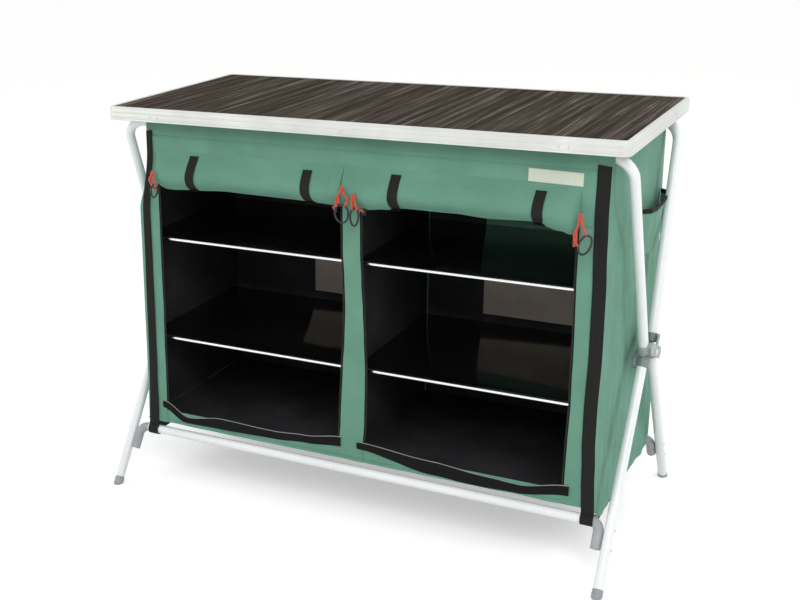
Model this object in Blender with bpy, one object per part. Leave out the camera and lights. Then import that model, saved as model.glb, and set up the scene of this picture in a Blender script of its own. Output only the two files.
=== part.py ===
"""Fabric camp kitchen cupboard: a tabletop on a folding scissor frame with a hung fabric cupboard.

Metres. +X is to the right as the user stands in front of the doors, +Y to the back, +Z up.
The origin lies on the floor, below the middle of the tabletop.
"""
import math

import bmesh
import bpy
from mathutils import Matrix, Vector

# Tabletop
TABLE_WIDTH = 1.040
TABLE_DEPTH = 0.510
TABLE_HEIGHT = 0.830
BOARD_THICKNESS = 0.009
RAIL_HEIGHT = 0.027
RAIL_WALL = 0.0015
RAIL_LIP = 0.008
RAIL_FLANGE = 0.010
RAIL_CORNER_RADIUS = 0.015
CLIP_INSET = 0.110
CLIP_LENGTH = 0.034
CLIP_LIP = 0.003

# Tubes of the frame
TUBE_DIAMETER = 0.019
LEG_OVERHANG = 0.0035
TOP_TUBE_INSET = 0.0565
TOP_BEND_RADIUS = 0.046
CROSS_TUBE_HEIGHT = 0.1128
CROSS_TUBE_SETBACK = 0.0025
CROSS_TUBE_END_INSET = 0.0395
ELBOW_BEND_RADIUS = 0.018
ELBOW_END_HEIGHT = 0.070
FOOT_CAP_HEIGHT = 0.012
FOOT_CAP_WALL = 0.0008

# Hubs, where the two frames cross
HUB_HEIGHT = 0.3834
HUB_SPREAD = 0.028
HUB_PLATE_THICKNESS = 0.004
HUB_PLATE_RADIUS = 0.0120
SOCKET_WALL = 0.0027
SOCKET_LENGTH = 0.017
SOCKET_FLOOR = 0.004
UPPER_SOCKET_START = 0.009
LOWER_SOCKET_START = 0.007
STOP_ARM_LENGTH = 0.032
STOP_ARM_LEAN = 50.0
STOP_ARM_RADIUS = 0.0075
STOP_ARM_THICKNESS = 0.003
PIN_RADIUS = 0.004
PIN_BOSS_RADIUS = 0.0074
PIN_HEAD_RADIUS = 0.0062
PIN_HEAD_HEIGHT = 0.0022

# Fabric cupboard
CLOTH = 0.003
WALL_LEG_GAP = 0.0335
WALL_TOP_DROP = 0.0075
WALL_BOTTOM = 0.102
WALL_CORNER_DROP = 0.0435
WALL_CORNER_INSET = 0.0393
WALL_FOOT_INSET = 0.027
HEADER_HEIGHT = 0.1275
HEM_HEIGHT = 0.134
APRON_HEIGHT = 0.029
CENTRE_STILE_WIDTH = 0.050
SIDE_STILE_WIDTH = 0.0522
ZIP_TAPE_WIDTH = 0.009
FOLD_DEPTH = 0.005
FOLD_TOP_DROP = 0.013
FOLD_COLUMNS = 14
FOLD_ROWS = 5

# Rolled doors and their ties
ROLL_HEIGHT = 0.068
ROLL_THICKNESS = 0.026
ROLL_RISE = 0.025
ROLL_END_MARGIN = 0.006
TIE_WIDTH = 0.020
TIE_THICKNESS = 0.0012
TIE_INNER_INSET = 0.065
TIE_OUTER_INSET = 0.0745
TIE_START_ANGLE = 70
TIE_END_ANGLE = 325
TIE_TAIL = 0.010

# Sill bands across the bottom of each door opening
BAND_THICKNESS = 0.0018
BAND_HEIGHT = 0.018
BAND_END_RISE = 0.001
BAND_SAG = 0.026
BAND_OVERLAP = 0.0095

# Corner webbing and base straps
WEBBING_WIDTH = 0.020
WEBBING_THICKNESS = 0.002
WEBBING_INSET = 0.0195
WEBBING_TOP_DROP = 0.0205
BASE_STRAP_HEIGHT = 0.017
BASE_STRAP_BOTTOM = 0.086

# Side pocket on the right wall
POCKET_LENGTH = 0.206
POCKET_HEIGHT = 0.108
POCKET_BACK_INSET = 0.0253
POCKET_TOP_DROP = 0.1395
POCKET_TOP_DEPTH = 0.0225
POCKET_BOTTOM_DEPTH = 0.010

# Shelves
SHELF_FRONT_INSET = 0.0133
SHELF_BACK_INSET = 0.0233
SHELF_THICKNESS = 0.004
SHELF_SIDE_GAP = 0.003
TRIM_WALL = 0.001
TRIM_DEPTH = 0.009
LEDGE_WIDTH = 0.014
LEDGE_THICKNESS = 0.0025
LEDGE_SETBACK = 0.022

# Zip sliders and their pulls
SLIDER_WIDTH = 0.010
SLIDER_LENGTH = 0.016
SLIDER_THICKNESS = 0.0035
SLIDER_DROP = 0.014
PULL_LENGTH = 0.034
PULL_WIDTH = 0.016
PULL_WIRE_RADIUS = 0.0012

# Fits and meshing
SEAT = 0.0003
OVERRUN = 0.010
MERGE_DISTANCE = 0.00001
TUBE_SIDES_RESOLUTION = 4
ARC_STEPS = 8
SMOOTH_ANGLE = math.radians(40)

# Shapes as shares of the sizes that they follow
SHELF_HEIGHT_SHARES = (0.3615, 0.7735)
BAND_SAG_SHARES = ((0.0, 0.0), (0.13, 0.80), (0.34, 0.85), (0.62, 0.85), (0.82, 0.55), (1.0, 0.05))
ROLL_RADIUS_SHARES = (0.62, 0.86, 0.95, 0.99, 0.96, 0.99, 0.95, 0.98, 0.94, 0.97, 0.93, 0.90, 0.84, 0.60)
FOLD_WIDTH_SHARE = 0.06
WEB_RADIUS_SHARE = 0.6
WEB_REACH_SHARE = 0.3
HEAD_TOP_SHARE = 0.7
FOLD_SHARES = ((0.12, 0.5), (0.32, 0.6), (0.54, 1.0), (0.72, 0.5), (0.88, 0.6))

# Values that follow from the ones above
TUBE_RADIUS = TUBE_DIAMETER / 2
LEG_X = TABLE_WIDTH / 2 + LEG_OVERHANG
RAIL_BOTTOM = TABLE_HEIGHT - RAIL_HEIGHT
TOP_TUBE_Y = TABLE_DEPTH / 2 - TOP_TUBE_INSET
TOP_TUBE_Z = RAIL_BOTTOM - SEAT - TUBE_RADIUS
BOARD_TOP = TABLE_HEIGHT - RAIL_WALL - SEAT
BOARD_BOTTOM = BOARD_TOP - BOARD_THICKNESS
SLEEVE_INNER = TUBE_RADIUS + SEAT
SLEEVE_OUTER = SLEEVE_INNER + CLOTH
FRONT_FACE = TOP_TUBE_Y + SLEEVE_OUTER
INNER_FACE = FRONT_FACE - CLOTH
WALL_OUTER = LEG_X - WALL_LEG_GAP
WALL_INNER = WALL_OUTER - CLOTH
PANEL_END = WALL_INNER - SEAT
STILE_EDGE = PANEL_END - SIDE_STILE_WIDTH
SOCKET_RADIUS = SLEEVE_INNER + SOCKET_WALL
PLATE_OFFSET = SOCKET_RADIUS + SEAT
CROSS_TUBE_Y = FRONT_FACE - CROSS_TUBE_SETBACK
CROSS_TUBE_REACH = LEG_X - CROSS_TUBE_END_INSET
LOWER_RUN = (CROSS_TUBE_Y - HUB_SPREAD) / (1 - CROSS_TUBE_HEIGHT / HUB_HEIGHT)
ELBOW_X = LEG_X - TUBE_DIAMETER - SEAT
OPENING_INNER = CENTRE_STILE_WIDTH / 2
APRON_TOP = HEM_HEIGHT + APRON_HEIGHT
WALL_TOP = RAIL_BOTTOM - WALL_TOP_DROP
HEADER_BOTTOM = WALL_TOP - HEADER_HEIGHT
ROLL_CENTRE_HEIGHT = HEADER_BOTTOM + ROLL_RISE
SLIDER_HEIGHT = HEADER_BOTTOM - SLIDER_DROP
BAND_END_HEIGHT = APRON_TOP + BAND_END_RISE
WEBBING_PLACE = WALL_OUTER - WEBBING_INSET
WEBBING_TOP = WALL_TOP - WEBBING_TOP_DROP
CLIP_PLACE = TABLE_WIDTH / 2 - CLIP_INSET
TIE_PLACES = (OPENING_INNER + TIE_INNER_INSET, STILE_EDGE - TIE_OUTER_INSET)
POCKET_TOP = WALL_TOP - POCKET_TOP_DROP
POCKET_BOTTOM = POCKET_TOP - POCKET_HEIGHT
POCKET_BACK = FRONT_FACE - POCKET_BACK_INSET
POCKET_FRONT = POCKET_BACK - POCKET_LENGTH
FOLD_TOP = POCKET_BOTTOM - FOLD_TOP_DROP
SHELF_FRONT = INNER_FACE - SHELF_FRONT_INSET
SHELF_BACK = INNER_FACE - SHELF_BACK_INSET
SHELF_HEIGHTS = [HEM_HEIGHT + share * (HEADER_BOTTOM - HEM_HEIGHT) for share in SHELF_HEIGHT_SHARES]
TRACK_FACE = FRONT_FACE + SEAT + BAND_THICKNESS / 2
UPPER_DIRECTION = Vector((0, TOP_TUBE_Y - HUB_SPREAD, TOP_TUBE_Z - HUB_HEIGHT)).normalized()
LOWER_DIRECTION = Vector((0, LOWER_RUN, -HUB_HEIGHT)).normalized()
PIVOT = Vector((0, 0, HUB_HEIGHT))
FRONT = -1
REAR = 1
SIDES = (("left", -1), ("right", 1))
ENDS = (("front", FRONT), ("rear", REAR))


def clear_scene():
    for item in list(bpy.data.objects):
        bpy.data.objects.remove(item, do_unlink=True)


def make_collection(name):
    collection = bpy.data.collections.new(name)
    bpy.context.scene.collection.children.link(collection)
    return collection


def make_material(name, colour, roughness, metallic=0.0):
    material = bpy.data.materials.new(name)
    material.use_nodes = True
    shader = material.node_tree.nodes["Principled BSDF"]
    linear = [channel ** 2.2 for channel in colour]
    shader.inputs["Base Color"].default_value = (*linear, 1.0)
    shader.inputs["Roughness"].default_value = roughness
    shader.inputs["Metallic"].default_value = metallic
    return material


clear_scene()
PARTS = make_collection("camp_kitchen_cupboard")

GREEN_CLOTH = make_material("green_cloth", (0.39, 0.56, 0.49), 0.85)
BLACK_CLOTH = make_material("black_cloth", (0.10, 0.10, 0.11), 0.85)
BLACK_WEBBING = make_material("black_webbing", (0.13, 0.13, 0.13), 0.75)
WHITE_TUBE = make_material("white_powder_coat", (0.92, 0.93, 0.93), 0.35)
BRIGHT_RAIL = make_material("rail_aluminium", (0.88, 0.88, 0.87), 0.40, 0.4)
DARK_BOARD = make_material("dark_laminate", (0.33, 0.31, 0.28), 0.30)
LIGHT_GREY = make_material("light_grey_plastic", (0.70, 0.71, 0.72), 0.50)
DARK_GREY = make_material("dark_grey_plastic", (0.45, 0.50, 0.50), 0.50)
ELBOW_GREY = make_material("elbow_grey_plastic", (0.60, 0.61, 0.62), 0.50)
PIN_STEEL = make_material("pin_steel", (0.72, 0.72, 0.70), 0.35, 0.9)
SHELF_BLACK = make_material("black_shelf_board", (0.07, 0.07, 0.08), 0.25)
ZIP_BLACK = make_material("zip_black", (0.06, 0.06, 0.06), 0.50)
PULL_ORANGE = make_material("pull_orange", (0.80, 0.28, 0.20), 0.60)


# Basic solids, each returned as a bmesh in world coordinates
def read_solid(item):
    """Read the evaluated mesh of a temporary object, weld it and remove the object."""
    graph = bpy.context.evaluated_depsgraph_get()
    mesh = bpy.data.meshes.new_from_object(item.evaluated_get(graph))
    solid = bmesh.new()
    solid.from_mesh(mesh)
    bmesh.ops.transform(solid, matrix=item.matrix_world, verts=solid.verts)
    bpy.data.objects.remove(item, do_unlink=True)
    bpy.data.meshes.remove(mesh)
    bmesh.ops.remove_doubles(solid, verts=solid.verts, dist=MERGE_DISTANCE)
    bmesh.ops.recalc_face_normals(solid, faces=solid.faces)
    return solid


def link_temporary(data):
    item = bpy.data.objects.new("temporary", data)
    bpy.context.scene.collection.objects.link(item)
    return item


def outline_solid(outlines, axis, low, high):
    """Thicken flat outlines from low to high along an axis. An inner outline is a hole.

    Outline points are (y, z) along x, (x, z) along y and (x, y) along z.
    """
    curve = bpy.data.curves.new("outline", 'CURVE')
    curve.dimensions = '2D'
    curve.fill_mode = 'BOTH'
    curve.extrude = (high - low) / 2
    for points in outlines:
        spline = curve.splines.new('POLY')
        spline.points.add(len(points) - 1)
        for point, (across, up) in zip(spline.points, points):
            point.co = (across, up, 0, 1)
        spline.use_cyclic_u = True
    item = link_temporary(curve)
    middle = (high + low) / 2
    if axis == "x":
        item.matrix_world = Matrix.Translation((middle, 0, 0)) @ Matrix(
            ((0, 0, 1, 0), (1, 0, 0, 0), (0, 1, 0, 0), (0, 0, 0, 1)))
    elif axis == "y":
        item.matrix_world = Matrix.Translation((0, middle, 0)) @ Matrix.Rotation(math.pi / 2, 4, 'X')
    else:
        item.matrix_world = Matrix.Translation((0, 0, middle))
    return read_solid(item)


def box_solid(low, high):
    solid = bmesh.new()
    bmesh.ops.create_cube(solid, size=1)
    size = [top - bottom for bottom, top in zip(low, high)]
    centre = [(top + bottom) / 2 for bottom, top in zip(low, high)]
    bmesh.ops.scale(solid, vec=size, verts=solid.verts)
    bmesh.ops.translate(solid, vec=centre, verts=solid.verts)
    return solid


def rod_solid(start, end, radius, end_radius=None, sides=24):
    """A cylinder or cone between two points."""
    start = Vector(start)
    end = Vector(end)
    run = end - start
    solid = bmesh.new()
    bmesh.ops.create_cone(solid, cap_ends=True, segments=sides, radius1=radius,
                          radius2=radius if end_radius is None else end_radius, depth=run.length)
    turn = run.to_track_quat('Z', 'Y').to_matrix().to_4x4()
    bmesh.ops.transform(solid, matrix=Matrix.Translation((start + end) / 2) @ turn, verts=solid.verts)
    return solid


def tube_curve(points, radius, radius_shares=None, resolution=TUBE_SIDES_RESOLUTION, closed=False):
    curve = bpy.data.curves.new("tube", 'CURVE')
    curve.dimensions = '3D'
    curve.bevel_depth = radius
    curve.bevel_resolution = resolution
    curve.use_fill_caps = not closed
    spline = curve.splines.new('POLY')
    spline.points.add(len(points) - 1)
    for index, place in enumerate(points):
        spline.points[index].co = (*place, 1)
        if radius_shares:
            spline.points[index].radius = radius_shares[index]
    spline.use_cyclic_u = closed
    return curve


def tube_solid(points, radius, **options):
    return read_solid(link_temporary(tube_curve(points, radius, **options)))


def boolean(solid, tool, operation):
    """Join or cut one solid with another."""
    items = []
    for source in (solid, tool):
        mesh = bpy.data.meshes.new("temporary")
        source.to_mesh(mesh)
        source.free()
        items.append(link_temporary(mesh))
    modifier = items[0].modifiers.new("boolean", 'BOOLEAN')
    modifier.operation = operation
    modifier.solver = 'EXACT'
    modifier.object = items[1]
    result = read_solid(items[0])
    bpy.data.objects.remove(items[1], do_unlink=True)
    return result


def join_solids(solids):
    """Union of overlapping solids into one body."""
    result = solids[0]
    for solid in solids[1:]:
        result = boolean(result, solid, 'UNION')
    return result


def mirror_x(solid):
    copy = solid.copy()
    bmesh.ops.scale(copy, vec=(-1, 1, 1), verts=copy.verts)
    bmesh.ops.reverse_faces(copy, faces=copy.faces)
    return copy


def make_node(name, solid, material, origin=(0, 0, 0), parent=None):
    """One named object from a solid, with its origin on its joint."""
    bmesh.ops.translate(solid, vec=-Vector(origin), verts=solid.verts)
    mesh = bpy.data.meshes.new(name)
    solid.to_mesh(mesh)
    solid.free()
    mesh.shade_smooth()
    mesh.set_sharp_from_angle(angle=SMOOTH_ANGLE)
    mesh.materials.append(material)
    return link_node(name, mesh, origin, parent)


def link_node(name, data, origin, parent):
    item = bpy.data.objects.new(name, data)
    PARTS.objects.link(item)
    item.location = Vector(origin) - (parent.location if parent else Vector())
    item.parent = parent
    return item


def make_pivot(name, place):
    empty = bpy.data.objects.new(name, None)
    PARTS.objects.link(empty)
    empty.location = place
    return empty


CUPBOARD = make_pivot("cupboard_pivot", (0, 0, 0))
TABLETOP = make_pivot("tabletop_pivot", (0, 0, RAIL_BOTTOM))
FRAME_A = make_pivot("frame_a_pivot", PIVOT)
FRAME_B = make_pivot("frame_b_pivot", PIVOT)


# Outlines
def arc_points(centre, radius, start, end, steps=ARC_STEPS):
    """Points on an arc, angles in degrees anticlockwise from the first coordinate."""
    places = []
    for step in range(steps + 1):
        angle = math.radians(start + (end - start) * step / steps)
        places.append((centre[0] + radius * math.cos(angle), centre[1] + radius * math.sin(angle)))
    return places


def rounded_rectangle(half_width, half_depth, radius):
    points = []
    for corner, (side, back) in enumerate(((1, 1), (-1, 1), (-1, -1), (1, -1))):
        centre = (side * (half_width - radius), back * (half_depth - radius))
        points += arc_points(centre, radius, corner * 90, corner * 90 + 90, ARC_STEPS // 2)
    return points


def capsule_outline(start, end, radius):
    """A bar with round ends between two points."""
    heading = math.degrees(math.atan2(end[1] - start[1], end[0] - start[0]))
    return (arc_points(end, radius, heading - 90, heading + 90)
            + arc_points(start, radius, heading + 90, heading + 270))


def sleeve_outlines(centre, inner, outer, strip_face, strip_thickness, strip_end):
    """A ring round a tube with a strip hanging down or rising from its outer side.

    The strip's outer face lies at strip_face (y) and it ends at the height strip_end.
    """
    side = 1 if strip_face > centre[0] else -1
    rise = 1 if strip_end > centre[1] else -1
    near = strip_face - side * strip_thickness
    outer_offset = min(abs(strip_face - centre[0]), outer)
    inner_offset = near - centre[0]
    start = math.degrees(math.atan2(rise * math.sqrt(max(outer ** 2 - outer_offset ** 2, 0)),
                                    side * outer_offset))
    end = math.degrees(math.atan2(rise * math.sqrt(outer ** 2 - inner_offset ** 2), inner_offset))
    if side * rise > 0:
        end = end if end > start else end + 360
    else:
        end = end if end < start else end - 360
    sweep = end - start
    full = sweep - 360 if sweep > 0 else sweep + 360
    ring = arc_points(centre, outer, start, start + full, ARC_STEPS * 3)
    strip = [(near, strip_end), (strip_face, strip_end)]
    hole = arc_points(centre, inner, 0, 360, ARC_STEPS * 2)[:-1]
    return [ring + strip, hole]


def wall_outline(half_depth, bottom, foot_inset=0):
    """Side view of an upright wall whose corners clear the top tubes and the cross tubes."""
    shoulder = WALL_TOP - WALL_CORNER_DROP
    half = [(half_depth - foot_inset, bottom), (half_depth, HEM_HEIGHT), (half_depth, shoulder),
            (half_depth - WALL_CORNER_INSET, WALL_TOP)]
    if not foot_inset:
        half.pop(1)
    return half + [(-across, height) for across, height in reversed(half)]


def fillet_path(start, corner, end, radius, steps=ARC_STEPS):
    """A path from start to end that rounds the corner."""
    start, corner, end = Vector(start), Vector(corner), Vector(end)
    back = (start - corner).normalized()
    ahead = (end - corner).normalized()
    half_angle = back.angle(ahead) / 2
    reach = radius / math.tan(half_angle)
    centre = corner + (back + ahead).normalized() * (radius / math.sin(half_angle))
    first = corner + back * reach - centre
    last = corner + ahead * reach - centre
    sweep = first.angle(last)
    points = [start]
    for step in range(steps + 1):
        share = step / steps
        points.append(centre + (first * math.sin((1 - share) * sweep)
                                + last * math.sin(share * sweep)) / math.sin(sweep))
    points.append(end)
    return points


# Places on the legs
def along_upper(side, facing, distance):
    """A point on an upper leg, measured from its hub end."""
    direction = Vector((0, facing * UPPER_DIRECTION.y, UPPER_DIRECTION.z))
    return Vector((side * LEG_X, facing * HUB_SPREAD, HUB_HEIGHT)) + direction * distance


def along_lower(side, facing, distance):
    direction = Vector((0, facing * LOWER_DIRECTION.y, LOWER_DIRECTION.z))
    return Vector((side * LEG_X, facing * HUB_SPREAD, HUB_HEIGHT)) + direction * distance


def lower_at_height(side, facing, height):
    return along_lower(side, facing, (HUB_HEIGHT - height) / -LOWER_DIRECTION.z)


# Tabletop
def rail_profile():
    """Section of the edge rail as (inward, height): wall, top lip and bottom flange."""
    soft = RAIL_WALL
    top = TABLE_HEIGHT
    return ([(0, RAIL_BOTTOM), (0, top - soft), (soft, top), (RAIL_LIP, top), (RAIL_LIP, top - RAIL_WALL),
             (RAIL_WALL, top - RAIL_WALL), (RAIL_WALL, RAIL_BOTTOM + RAIL_WALL),
             (RAIL_FLANGE, RAIL_BOTTOM + RAIL_WALL), (RAIL_FLANGE, RAIL_BOTTOM)])


def side_rail(side):
    half_length = TABLE_DEPTH / 2 - RAIL_CORNER_RADIUS - SEAT
    outline = [(side * (TABLE_WIDTH / 2 - inward), height) for inward, height in rail_profile()]
    return outline_solid([outline], "y", -half_length, half_length)


def long_rail(facing):
    """The front or rear rail, bent a quarter turn round both corners of the board."""
    solid = bmesh.new()
    corner_x = TABLE_WIDTH / 2 - RAIL_CORNER_RADIUS
    corner_y = TABLE_DEPTH / 2 - RAIL_CORNER_RADIUS
    verts = [solid.verts.new((TABLE_WIDTH / 2 - inward, corner_y, height)) for inward, height in rail_profile()]
    ring = [solid.edges.new((first, second)) for first, second in zip(verts, verts[1:] + verts[:1])]
    for side in (1, -1):
        turn = bmesh.ops.spin(solid, geom=ring, cent=(side * corner_x, corner_y, 0), axis=(0, 0, 1),
                              angle=math.pi / 2, steps=ARC_STEPS // 2, use_duplicate=False)
        ring = [item for item in turn["geom_last"] if isinstance(item, bmesh.types.BMEdge)]
        if side == 1:
            run = bmesh.ops.extrude_edge_only(solid, edges=ring)["geom"]
            moved = [item for item in run if isinstance(item, bmesh.types.BMVert)]
            bmesh.ops.translate(solid, vec=(-2 * corner_x, 0, 0), verts=moved)
            ring = [item for item in run if isinstance(item, bmesh.types.BMEdge) and item.is_boundary]
    bmesh.ops.holes_fill(solid, edges=[edge for edge in solid.edges if edge.is_boundary])
    bmesh.ops.scale(solid, vec=(1, facing, 1), verts=solid.verts)
    bmesh.ops.recalc_face_normals(solid, faces=solid.faces)
    return solid


def top_clip(side, facing):
    """A clip that rests on the outer half of a sleeve and keeps the tabletop from sliding off it."""
    seat_height = TOP_TUBE_Z + SLEEVE_OUTER + SEAT
    lip_face = FRONT_FACE + SEAT
    lip_bottom = RAIL_BOTTOM + SEAT
    top = BOARD_BOTTOM - SEAT
    outline = [(TOP_TUBE_Y, seat_height), (lip_face, seat_height), (lip_face, lip_bottom),
               (lip_face + CLIP_LIP, lip_bottom), (lip_face + CLIP_LIP, top), (TOP_TUBE_Y, top)]
    outline = [(facing * across, height) for across, height in outline]
    middle = side * CLIP_PLACE
    return outline_solid([outline], "x", middle - CLIP_LENGTH / 2, middle + CLIP_LENGTH / 2)


def make_tabletop():
    seat = TABLETOP.location
    inset = RAIL_WALL + SEAT
    outline = rounded_rectangle(TABLE_WIDTH / 2 - inset, TABLE_DEPTH / 2 - inset, RAIL_CORNER_RADIUS - inset)
    board = outline_solid([outline], "z", BOARD_BOTTOM, BOARD_TOP)
    make_node("table_board", board, DARK_BOARD, seat, TABLETOP)
    for word, facing in ENDS:
        make_node(f"{word}_rail", long_rail(facing), BRIGHT_RAIL, seat, TABLETOP)
        for name, side in SIDES:
            make_node(f"top_clip_{word}_{name}", top_clip(side, facing), DARK_GREY, seat, TABLETOP)
    for name, side in SIDES:
        make_node(f"{name}_rail", side_rail(side), BRIGHT_RAIL, seat, TABLETOP)


# Folding frame
def make_tube_node(name, points, parent):
    curve = tube_curve([place - parent.location for place in points], TUBE_RADIUS)
    curve.materials.append(WHITE_TUBE)
    link_node(name, curve, parent.location, parent)


def make_upper_tube(name, facing, parent):
    """One bent tube: an upper leg, the top run under the table and the other upper leg."""
    start = UPPER_SOCKET_START + SOCKET_FLOOR + SEAT
    left = Vector((-LEG_X, facing * TOP_TUBE_Y, TOP_TUBE_Z))
    right = Vector((LEG_X, facing * TOP_TUBE_Y, TOP_TUBE_Z))
    middle = (left + right) / 2
    points = fillet_path(along_upper(-1, facing, start), left, middle, TOP_BEND_RADIUS)[:-1]
    points += fillet_path(middle, right, along_upper(1, facing, start), TOP_BEND_RADIUS)[1:]
    make_tube_node(name, points, parent)


def make_lower_parts(word, facing, parent):
    """Lower legs, cross tube, elbows and feet on one side of the stand."""
    cross_y = facing * CROSS_TUBE_Y
    make_tube_node(f"{word}_cross_tube", [Vector((-CROSS_TUBE_REACH, cross_y, CROSS_TUBE_HEIGHT)),
                                          Vector((CROSS_TUBE_REACH, cross_y, CROSS_TUBE_HEIGHT))], parent)
    start = LOWER_SOCKET_START + SOCKET_FLOOR + SEAT
    for name, side in SIDES:
        end = lower_at_height(side, facing, FOOT_CAP_HEIGHT + SEAT)
        make_tube_node(f"{word}_lower_leg_{name}", [along_lower(side, facing, start), end], parent)
        make_node(f"{word}_elbow_{name}", elbow(side, facing), ELBOW_GREY, PIVOT, parent)
        make_node(f"{word}_foot_{name}", foot_cap(side, facing), ELBOW_GREY, PIVOT, parent)


def elbow(side, facing):
    """A bent piece from the end of the cross tube down along the inner side of the leg."""
    first = Vector((side * (CROSS_TUBE_REACH + SEAT), facing * CROSS_TUBE_Y, CROSS_TUBE_HEIGHT))
    corner = lower_at_height(side, facing, CROSS_TUBE_HEIGHT)
    end = lower_at_height(side, facing, ELBOW_END_HEIGHT)
    corner.x = side * ELBOW_X
    end.x = side * ELBOW_X
    return tube_solid(fillet_path(first, corner, end, ELBOW_BEND_RADIUS), TUBE_RADIUS)


def foot_cap(side, facing):
    """A plug on the end of a leg, cut flat where it stands on the floor."""
    start = lower_at_height(side, facing, FOOT_CAP_HEIGHT)
    end = lower_at_height(side, facing, -OVERRUN)
    solid = rod_solid(start, end, TUBE_RADIUS + FOOT_CAP_WALL)
    cut = bmesh.ops.bisect_plane(solid, geom=[*solid.verts, *solid.edges, *solid.faces],
                                 plane_co=(0, 0, 0), plane_no=(0, 0, -1), clear_outer=True)
    edges = [item for item in cut["geom_cut"] if isinstance(item, bmesh.types.BMEdge)]
    bmesh.ops.contextual_create(solid, geom=edges)
    bmesh.ops.recalc_face_normals(solid, faces=solid.faces)
    return solid


def hub_half(upper_facing, outward):
    """A hub half at the right-hand leg: two tube sockets joined by a plate beside the tubes.

    upper_facing is -1 where the half holds the front upper leg, and outward is 1 where
    its plate lies on the outer side. It is made round x = 0 and then moved to its leg.
    """
    near = outward * PLATE_OFFSET
    far = near + outward * HUB_PLATE_THICKNESS
    low, high = min(near, far), max(near, far)
    core = (low + high) / 2
    leg = Vector((LEG_X, 0, 0))
    sockets = ((along_upper, upper_facing, UPPER_SOCKET_START), (along_lower, -upper_facing, LOWER_SOCKET_START))
    solids = []
    ends = []
    for along, facing, start in sockets:
        first = along(1, facing, start) - leg
        last = along(1, facing, start + SOCKET_LENGTH) - leg
        solids.append(rod_solid(first, last, SOCKET_RADIUS))
        middle = (first + last) / 2
        run = (last - first) * WEB_REACH_SHARE
        ends.append((middle.y, middle.z))
        web = capsule_outline((middle.y - run.y, middle.z - run.z), (middle.y + run.y, middle.z + run.z),
                              SOCKET_RADIUS * WEB_RADIUS_SHARE)
        solids.append(outline_solid([web], "x", min(0, core), max(0, core)))
    plate = outline_solid([capsule_outline(ends[0], ends[1], HUB_PLATE_RADIUS)], "x", low, high)
    solids.insert(0, plate)
    if outward > 0:
        lean = math.radians(STOP_ARM_LEAN)
        tip = (-upper_facing * STOP_ARM_LENGTH * math.sin(lean), HUB_HEIGHT + STOP_ARM_LENGTH * math.cos(lean))
        arm = capsule_outline((0, HUB_HEIGHT), tip, STOP_ARM_RADIUS)
        solids.append(outline_solid([arm], "x", core - STOP_ARM_THICKNESS / 2, core + STOP_ARM_THICKNESS / 2))
        solids.append(rod_solid((core, 0, HUB_HEIGHT), (SEAT - PLATE_OFFSET, 0, HUB_HEIGHT), PIN_BOSS_RADIUS))
    half = join_solids(solids)
    for along, facing, start in sockets:
        bore = rod_solid(along(1, facing, start + SOCKET_FLOOR) - leg,
                         along(1, facing, start + SOCKET_LENGTH + OVERRUN) - leg, SLEEVE_INNER)
        half = boolean(half, bore, 'DIFFERENCE')
    reach = PLATE_OFFSET + HUB_PLATE_THICKNESS + OVERRUN
    half = boolean(half, rod_solid((-reach, 0, HUB_HEIGHT), (reach, 0, HUB_HEIGHT), PIN_RADIUS + SEAT), 'DIFFERENCE')
    bmesh.ops.translate(half, vec=leg, verts=half.verts)
    return half


def hub_pin(side):
    """A rivet through both hub halves, with a head at each end."""
    reach = PLATE_OFFSET + HUB_PLATE_THICKNESS + SEAT
    inner = Vector((side * (LEG_X - reach), 0, HUB_HEIGHT))
    outer = Vector((side * (LEG_X + reach), 0, HUB_HEIGHT))
    head = Vector((side * PIN_HEAD_HEIGHT, 0, 0))
    shaft = rod_solid(inner - head / 2, outer + head / 2, PIN_RADIUS)
    inner_head = rod_solid(inner, inner - head, PIN_HEAD_RADIUS, PIN_HEAD_RADIUS * HEAD_TOP_SHARE)
    outer_head = rod_solid(outer, outer + head, PIN_HEAD_RADIUS, PIN_HEAD_RADIUS * HEAD_TOP_SHARE)
    return join_solids([shaft, inner_head, outer_head])


def make_hubs():
    outer = hub_half(FRONT, 1)
    inner = hub_half(REAR, -1)
    make_node("hub_outer_left", mirror_x(outer), LIGHT_GREY, PIVOT, FRAME_A)
    make_node("hub_outer_right", outer, LIGHT_GREY, PIVOT, FRAME_A)
    make_node("hub_inner_left", mirror_x(inner), DARK_GREY, PIVOT, FRAME_B)
    make_node("hub_inner_right", inner, DARK_GREY, PIVOT, FRAME_B)
    for name, side in SIDES:
        make_node(f"hub_pin_{name}", hub_pin(side), PIN_STEEL, PIVOT)


# Fabric cupboard
def cloth_node(name, solid, material=GREEN_CLOTH):
    make_node(name, solid, material, (0, 0, 0), CUPBOARD)


def fold_offset(share):
    """How far the cloth stands out at a share of its width, from 0 to about 1."""
    return sum(amount * math.exp(-((share - place) / FOLD_WIDTH_SHARE) ** 2) for place, amount in FOLD_SHARES)


def cut_across(solid, place, normal):
    """Add edges where a plane crosses the solid, so that it can be bent there."""
    geometry = [*solid.verts, *solid.edges, *solid.faces]
    bmesh.ops.bisect_plane(solid, geom=geometry, plane_co=place, plane_no=normal)


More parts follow.
